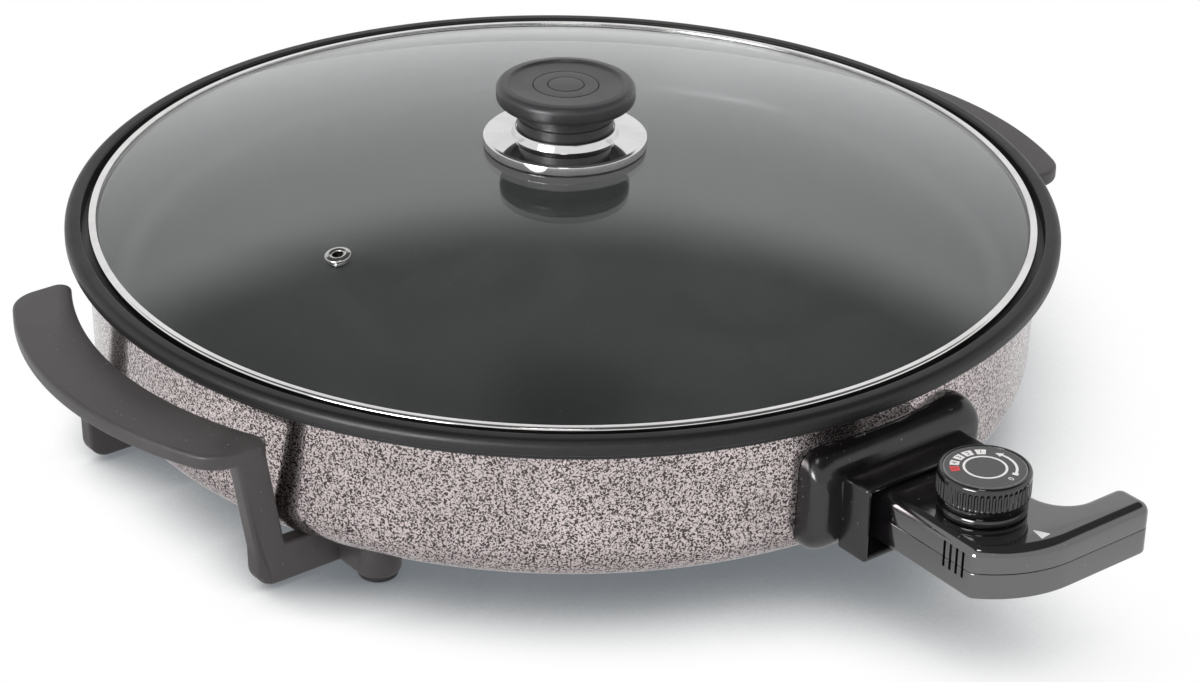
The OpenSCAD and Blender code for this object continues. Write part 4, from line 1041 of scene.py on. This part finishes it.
class PIZZAPAN_OT_thermostat(bpy.types.Operator):
    """Build the thermostat's two covers, the bush that its lead would leave by, and the pointer"""

    bl_idname = "pizzapan.thermostat"
    bl_label = "Thermostat"

    def execute(self, context):
        s = context.scene.pizzapan_thermostat
        base, wall, edge = mm(s.body_base), 2.0, mm(s.edge_rounding)
        top, part = base + mm(s.body_height), base + 11.0
        outline = split_long(thermostat_outline(s), 2.5)
        turn = np.linspace(0, RIGHT, 13)
        crown = np.stack([edge * (1 - np.cos(turn)), top - edge * (1 - np.sin(turn))], 1)
        groove = [(0.28, 0.05), (0.16, 0.13), (0.06, 0.3), (0.0, 0.55)]
        upper = [(4.4, top - wall), (2.5, top - wall - 0.3), (wall, top - edge),
                 (wall, part + 0.05), *((depth, part + rise) for depth, rise in groove), *crown]
        lower = [(2.6, base + wall), (wall, base + wall + 0.6), (wall, part - 0.05),
                 *((depth, part - rise) for depth, rise in groove), (0.0, base + 1.1),
                 (0.10, base + 0.65), (0.35, base + 0.25), (0.8, base)]
        slot_pitch, slot_width = 3.4, 1.3
        slots = [block(outwards(-27, out, part - 4), outwards(-20.8, out - slot_width, part + 7))
                 for out in 269 - slot_pitch * np.arange(4)]
        window = block(outwards(-20.4, 209.1, base + 2.1), outwards(20.4, 206, top - 2.1))
        lead_out, lead_up, lead_bore, spindle_bore = 280.25, base + 10.75, 6.1, 3.5
        gland = rod(outwards(40, lead_out, lead_up), (1, 0, 0), lead_bore, 20, 64)
        spindle = rod((*DIAL_XY, part + 2), (0, 0, 1), spindle_bore, 14)
        for name, node, rows, cuts in (
                ("upper_cover", "controller_top_cover", upper, [*slots, window, gland, spindle]),
                ("lower_cover", "controller_bottom_cover", lower, [*slots, window, gland])):
            add_piece(name, slab(outline, rows, outwards), "thermostat", ["gloss_moulding"],
                      [node], cutters=cuts, crease=50)

        profile = section([(3.7, -13, 0.2), (6.0, -13, 0.5), (6.0, -0.5, 0), (6.0, 0.4, 0.4),
                           (3.7, 0.4, 0.3)])
        ring, faces = turned(profile, (0.0, 0.0), 72)
        x, y, z = ring.T
        add_piece("lead_bush", (outwards(55 + z, lead_out - x, lead_up + y), faces),
                  "thermostat", ["black_rubber"], ["cord_gland"])

        arrow = fillet([(-2.6, 3.2), (2.6, 3.2), (0.0, -3.4)], 0.35, 5, closed=True)
        from_dial, ink = 27.0, 0.05
        flat = spun(arrow * [1, -1], POINTER + RIGHT) + DIAL_XY + from_dial * circle(POINTER)
        add_piece("pointer", plate(flat, top, top + ink), "thermostat", ["pale_print"])
        return {"FINISHED"}


# ---- dial


def ribbed_ring(radius, height, strength, ribs):
    """Ring with round-bottomed grooves between its ribs: r = radius - sqrt(0.72^2 - s^2) in a
    groove, s being the way round from its middle in millimetres; strength fades them out."""
    groove, points_each = 0.72, 14
    turn = np.linspace(0, 2 * np.pi, ribs * points_each, endpoint=False)
    pitch = 2 * np.pi / ribs
    offset = radius * np.sin((turn + pitch / 2) % pitch - pitch / 2)
    depth = np.sqrt(np.maximum(0, groove ** 2 - offset ** 2)) * strength
    return xyz(*((radius - depth) * circle(turn).T + DIAL_XY[:, None]), height)


def sector(inner, outer, first, last, low, high, steps=6):
    """Thin plate over part of a ring, between two radii and two angles from the pointer."""
    edge = circle(POINTER + np.radians(np.linspace(first, last, steps + 1)))
    return plate(np.vstack([outer * edge, inner * edge[::-1]]) + DIAL_XY, low, high)


def print_ring(inner, outer, low, high):
    """Flat ring of print round the dial's middle."""
    profile = [(inner, low), (outer, low), (outer, high), (inner, high)]
    return turned(profile, DIAL_XY, 128)


def flat_digit(digit, radius, degrees, size, low, top_out):
    """A digit as a thin mesh on the dial's face, its top away from or towards the middle."""
    ink = 0.02
    curve = bpy.data.curves.new("digit", "FONT")
    curve.body, curve.size, curve.extrude = digit, size / 1000, ink / 1000
    curve.align_x, curve.align_y, curve.resolution_u = "CENTER", "CENTER", 3
    mesh = final_mesh(new_object("digit", curve))
    bpy.data.curves.remove(curve)
    points = np.empty(len(mesh.vertices) * 3)
    mesh.vertices.foreach_get("co", points)
    points = points.reshape(-1, 3) * 1000
    faces = [list(face.vertices) for face in mesh.polygons]
    bpy.data.meshes.remove(mesh)
    turn = POINTER + math.radians(degrees)
    flat = spun(points[:, :2], turn - RIGHT if top_out else turn + RIGHT)
    return np.c_[flat + DIAL_XY + radius * circle(turn), points[:, 2] + low + ink], faces


class PIZZAPAN_OT_dial(bpy.types.Operator):
    """Build the ribbed dial, its face and the print on it"""

    bl_idname = "pizzapan.dial"
    bl_label = "Dial"

    def execute(self, context):
        s = context.scene.pizzapan_thermostat
        radius, low, high, axis, bore = mm(s.dial_radius), 57.35, 74.4, 0.01, 3.12
        face, ceiling, seat = radius - 1.8, low + 13.3, high - 0.8
        inside = [(axis, seat, 0), (axis, high - 4.8, 0), (bore, high - 4.8, 0), (bore, low, 0),
                  (5.4, low, 0), (5.5, ceiling, 0), (radius - 3, ceiling, 0)]
        # How far in from the dial's radius, how high above its foot, and how deep the grooves.
        outside = [(radius - back, low + rise, depth) for back, rise, depth in (
            (3, 0.1, 0), (2.8, 0, 0), (1.2, 0, 0), (0.85, 0.15, 0), (0.7, 0.5, 0), (0.7, 2.6, 0),
            (0.9, 2.9, 0), (0.9, 3.3, 0), (0.65, 3.6, 0), (0.6, 6.1, 0), (0.5, 6.6, 0.05),
            (0.15, 7.0, 0.3), (0, 7.4, 0.75), (0, 7.9, 1), (0, 10, 1), (0, 12, 1),
            (0, 13.2, 0.95), (0, 13.8, 0.7), (0, 14.2, 0.3), (0, 14.45, 0), (0.02, 15.8, 0),
            (0.2, 16.4, 0), (0.6, 16.85, 0))]
        mouth = [(radius - 0.95, high, 0), (face + 0.35, high, 0), (face + 0.12, high - 0.1, 0),
                 (face, high - 0.35, 0), (face, seat, 0)]
        rings = [ribbed_ring(*row, s.dial_ribs) for row in inside + outside + mouth]
        add_piece("dial_grip", skin(rings, loop=True), "dial", ["dial_moulding"],
                  ["dial_knob"], crease=48)

        disc, level = face - 0.12, high - 0.2
        under, bevel_start = level - 0.04, disc - 0.70
        profile = [(axis, seat), (disc, seat), (disc, level - 0.32), (disc - 0.12, level - 0.1),
                   (disc - 0.45, level + 0.02), (disc - 0.62, under), (disc - 0.8, under),
                   (axis, under)]
        add_piece("dial_plate", turned(profile, DIAL_XY, 192), "dial",
                  ["dial_plate", "dial_bevel"], ["dial_face"], crease=60,
                  pick=above(level - 0.3, DIAL_XY, inner=bevel_start))

        # Parts of the print: radii as shares of the face's, and degrees from the pointer.
        steps = [(0.61, 0.83, *ends) for ends in ((127, 146), (153, 172), (177, 194), (201, 217))]
        pale = [print_ring(0.47 * face, 0.53 * face, under, level)]
        for inner, outer, first, last, *count in (
                *steps, (0.70, 0.765, 24, 96, 30), (0.655, 0.80, 16, 24, 4)):
            pale.append(sector(inner * face, outer * face, first, last, under, level, *count))
        head = circle(POINTER + np.radians([96.0, 96.0, 110.0])) * (
            np.array([[0.83], [0.64], [0.735]]) * face) + DIAL_XY
        pale.append(plate(head, under, level))
        pale.append(flat_digit("0", 0.76 * face, 0, 3.6, under + 0.02, False))
        hot = sector(0.61 * face, 0.83 * face, 222, 239, under, level)
        digits = [flat_digit(str(i + 1), 0.72 * face, at, 3.0, level, True)
                  for i, at in enumerate((136.5, 162.5, 185.5, 209, 230.5))]
        for name, shape, finish in (("dial_marks", joined(*pale), "pale_print"),
                                    ("dial_hot_mark", hot, "hot_print"),
                                    ("dial_digits", joined(*digits), "dark_print")):
            add_piece(name, shape, "dial", [finish], crease=30)
        return {"FINISHED"}


# ---- parts kept as built


class PIZZAPAN_OT_inner_parts(bpy.types.Operator):
    """Give the screws, heater, contacts and other kept parts their materials"""

    bl_idname = "pizzapan.inner_parts"
    bl_label = "Inner Parts"

    def execute(self, context):
        for finish, nodes in NODE_FINISHES.items():
            for node in nodes:
                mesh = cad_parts[node].data
                mesh.materials.clear()
                mesh.materials.append(FINISHES[finish])
        return {"FINISHED"}


# ---- studio


WHITE = (1.0, 1.0, 1.0)
PAINTED_SHADOW = (0.145, 0.160, 0.175)     # painted shadow on the floor where the pan stands over it, seen only by the camera
PLAIN_LIGHT = 0.45                # the world's strength on the object
WALL, CEILING = 0.92, 0.10        # the world's strengths in reflections
WINDOW, WINDOW_STRENGTH = (-0.970, -0.206, 0.13), 18.0
PICTURE = (1200, 682)
AIM_PIXEL, AIM_HEIGHT = (561.9, 200.0), 0.09


def area_lamp(name, place, size, power, mirrored=False):
    """Square lamp aimed at the pan; only a mirrored one shows in its shiny surfaces and through
    glass."""
    lamp = bpy.data.lights.new(name, "AREA")
    lamp.shape, lamp.size, lamp.energy = "SQUARE", size, power
    holder = new_object(name, lamp)
    holder.location = place
    way = Vector((0.0, PAN_Y / 1000, 0.06)) - Vector(place)
    holder.rotation_euler = way.to_track_quat("-Z", "Y").to_euler()
    holder.visible_glossy = holder.visible_transmission = mirrored


def studio_floor():
    """Floor of pale card: it lights the pan as card does, and to the camera it glows white where
    the sky is open, with a painted blue grey shadow where the pan stands over it. The sky is felt
    for farther off on the right, so the painted shadow is wider there."""
    side = np.linspace(-6000, 6000, 13)
    x, y = np.meshgrid(side, side, indexing="ij")
    index = np.arange(x.size).reshape(x.shape)
    quads = np.stack([index[:-1, :-1], index[1:, :-1], index[1:, 1:], index[:-1, 1:]], -1)
    floor = new_object("studio_floor", new_mesh(
        "studio_floor", (xyz(x.ravel(), y.ravel(), 0.0), quads.reshape(-1, 4).tolist())))
    material = bpy.data.materials.new("studio_card")
    board = Board(blank_tree(material))
    place = board.coordinates()
    grain = board.noise(place, 900.0)
    card = board.node("ShaderNodeBsdfDiffuse", {
        "Color": board.mix(grain, (0.955, 0.965, 0.975), (0.975, 0.985, 0.99))})
    path = board.node("ShaderNodeLightPath").outputs
    reach = board.between(board.parts(place)[0], -0.28, 0.30, 0.034, 0.086, smooth=True)
    open_sky = board.node("ShaderNodeAmbientOcclusion", {"Distance": reach}, samples=12)
    share = board.between(open_sky.outputs["AO"], 0.16, 0.93, smooth=True)
    # painted shadow: blue grey mixed into the floor's glow where occlusion finds the pan overhead,
    # for camera rays only
    painted_shadow = board.mix(share, PAINTED_SHADOW, WHITE)
    glow = board.node("ShaderNodeEmission", {
        "Color": board.mix(path["Is Camera Ray"], WHITE, painted_shadow), "Strength": 1.0})
    mirrored = board.times(path["Is Glossy Ray"], 0.35)
    seen = board.math("MAXIMUM", path["Is Camera Ray"], board.math(
        "MAXIMUM", mirrored, path["Is Transmission Ray"]))
    blend = board.node("ShaderNodeMixShader", {0: seen, 1: card.outputs[0], 2: glow.outputs[0]})
    board.end("ShaderNodeOutputMaterial", blend.outputs[0])
    floor.data.materials.append(material)


def studio_world():
    """Plain light all round: white to the camera, and to reflections white near the horizon
    and dim overhead, as a room with bright walls under a dark ceiling. The white wall reaches
    higher on the left, and a window stands low in it."""
    world = bpy.data.worlds.new("studio_world")
    board = Board(blank_tree(world))
    direction = board.coordinates("Generated")
    x, _, z = board.parts(direction)
    higher = board.between(x, -0.15, -0.55, 0.0, 0.22, smooth=True)
    height = board.math("SUBTRACT", z, higher)
    wall = board.between(height, 0.52, 0.66, WALL, CEILING, smooth=True)
    facing = board.node("ShaderNodeVectorMath", {0: direction, 1: WINDOW},
                        operation="DOT_PRODUCT").outputs["Value"]
    window = board.between(facing, 0.95, 0.985, 0.0, WINDOW_STRENGTH, smooth=True)
    path = board.node("ShaderNodeLightPath").outputs
    lit = board.choose(path["Is Glossy Ray"], PLAIN_LIGHT, board.plus(wall, window))
    shine = board.node("ShaderNodeBackground", {
        "Color": (0.985, 0.99, 1.0), "Strength": board.choose(path["Is Camera Ray"], lit, 1.0)})
    board.end("ShaderNodeOutputWorld", shine.outputs[0])
    bpy.context.scene.world = world


def studio_camera(s):
    """Camera aimed so that a point on the pan's axis, level with the rim, falls at a given
    pixel of the picture: first it looks straight at the point, then it turns and tips by the
    angles whose tangents are the pixel's distances from the middle over the focal length."""
    sensor = 36.0
    focal = s.lens / sensor * PICTURE[0]
    across, down = ((at - size / 2) / focal for at, size in zip(AIM_PIXEL, PICTURE))
    a, e = s.azimuth, s.elevation
    target = Vector((0, PAN_Y / 1000, AIM_HEIGHT))
    place = target + s.distance * Vector(
        (math.sin(a) * math.cos(e), -math.cos(a) * math.cos(e), math.sin(e)))
    forward = (target - place).normalized()
    right = Vector((math.cos(a), math.sin(a), 0))
    up = right.cross(forward)
    spin = Matrix.Rotation(math.atan(across / math.sqrt(1 + down * down)), 3, up)
    forward, right = spin @ forward, spin @ right
    spin = Matrix.Rotation(math.atan(down), 3, right)
    forward, up = spin @ forward, spin @ up
    spin = Matrix.Rotation(-s.roll, 3, forward)
    right, up = spin @ right, spin @ up
    camera = bpy.data.cameras.new("studio_camera")
    camera.lens, camera.sensor_width = s.lens, sensor
    camera.clip_start, camera.clip_end = 0.05, 50.0
    holder = new_object("studio_camera", camera)
    turned_to = Matrix((right, up, -forward)).transposed().to_4x4()
    holder.matrix_world = Matrix.Translation(place) @ turned_to
    bpy.context.scene.camera = holder


class PIZZAPAN_OT_studio(bpy.types.Operator):
    """Build the pale floor, the lamps, the surroundings and the camera"""

    bl_idname = "pizzapan.studio"
    bl_label = "Studio"

    def execute(self, context):
        s = context.scene.pizzapan_studio
        context.scene.view_settings.view_transform = "Standard"
        studio_floor()
        studio_world()
        area_lamp("key_lamp", (0.0, 0.45, 1.8), 1.6, s.key_power)
        area_lamp("fill_lamp", (-1.2, -1.6, 1.2), 1.2, s.fill_power)
        area_lamp("spark_lamp", (-0.62, -0.69, 2.0), 0.38, 3.0, mirrored=True)
        studio_camera(s)
        return {"FINISHED"}


class PIZZAPAN_OT_finishes(bpy.types.Operator):
    """Make the materials and the effects that they share"""

    bl_idname = "pizzapan.finishes"
    bl_label = "Materials"

    def execute(self, context):
        build_finishes(context.scene.pizzapan_colours)
        return {"FINISHED"}


# ---- panel and registration


class PIZZAPAN_PT_sidebar(bpy.types.Panel):
    """Buttons and sizes of the pizza pan, in the 3D view's sidebar"""

    bl_idname = "PIZZAPAN_PT_sidebar"
    bl_label = "Electric Pizza Pan"
    bl_space_type = "VIEW_3D"
    bl_region_type = "UI"
    bl_category = "Pizza Pan"

    def draw(self, context):
        column = self.layout.column(align=True)
        for operator in OPERATORS:
            column.operator(operator.bl_idname)
        for attribute, group in SETTINGS.items():
            box = self.layout.box()
            box.label(text=group.__name__)
            for name in group.__annotations__:
                box.prop(getattr(context.scene, attribute), name)


SETTINGS = {
    "pizzapan_pan": PanSizes,
    "pizzapan_lid": LidSizes,
    "pizzapan_handles": HandleSizes,
    "pizzapan_thermostat": ThermostatSizes,
    "pizzapan_colours": FinishColours,
    "pizzapan_studio": StudioSettings,
}
OPERATORS = [
    PIZZAPAN_OT_finishes, PIZZAPAN_OT_pan, PIZZAPAN_OT_handles, PIZZAPAN_OT_guard,
    PIZZAPAN_OT_lid, PIZZAPAN_OT_knob, PIZZAPAN_OT_thermostat, PIZZAPAN_OT_dial,
    PIZZAPAN_OT_inner_parts, PIZZAPAN_OT_studio,
]


def register():
    for attribute, group in SETTINGS.items():
        bpy.utils.register_class(group)
        setattr(bpy.types.Scene, attribute, bpy.props.PointerProperty(type=group))
    for kind in (*OPERATORS, PIZZAPAN_PT_sidebar):
        bpy.utils.register_class(kind)


def unregister():
    for kind in (PIZZAPAN_PT_sidebar, *reversed(OPERATORS)):
        bpy.utils.unregister_class(kind)
    for attribute, group in SETTINGS.items():
        delattr(bpy.types.Scene, attribute)
        bpy.utils.unregister_class(group)


def main():
    register()
    for operator in OPERATORS:
        area, name = operator.bl_idname.split(".")
        if getattr(getattr(bpy.ops, area), name)() != {"FINISHED"}:
            raise RuntimeError(f"{operator.bl_idname} didn't finish")
    bpy.context.view_layer.update()


if __name__ == "__main__":
    main()
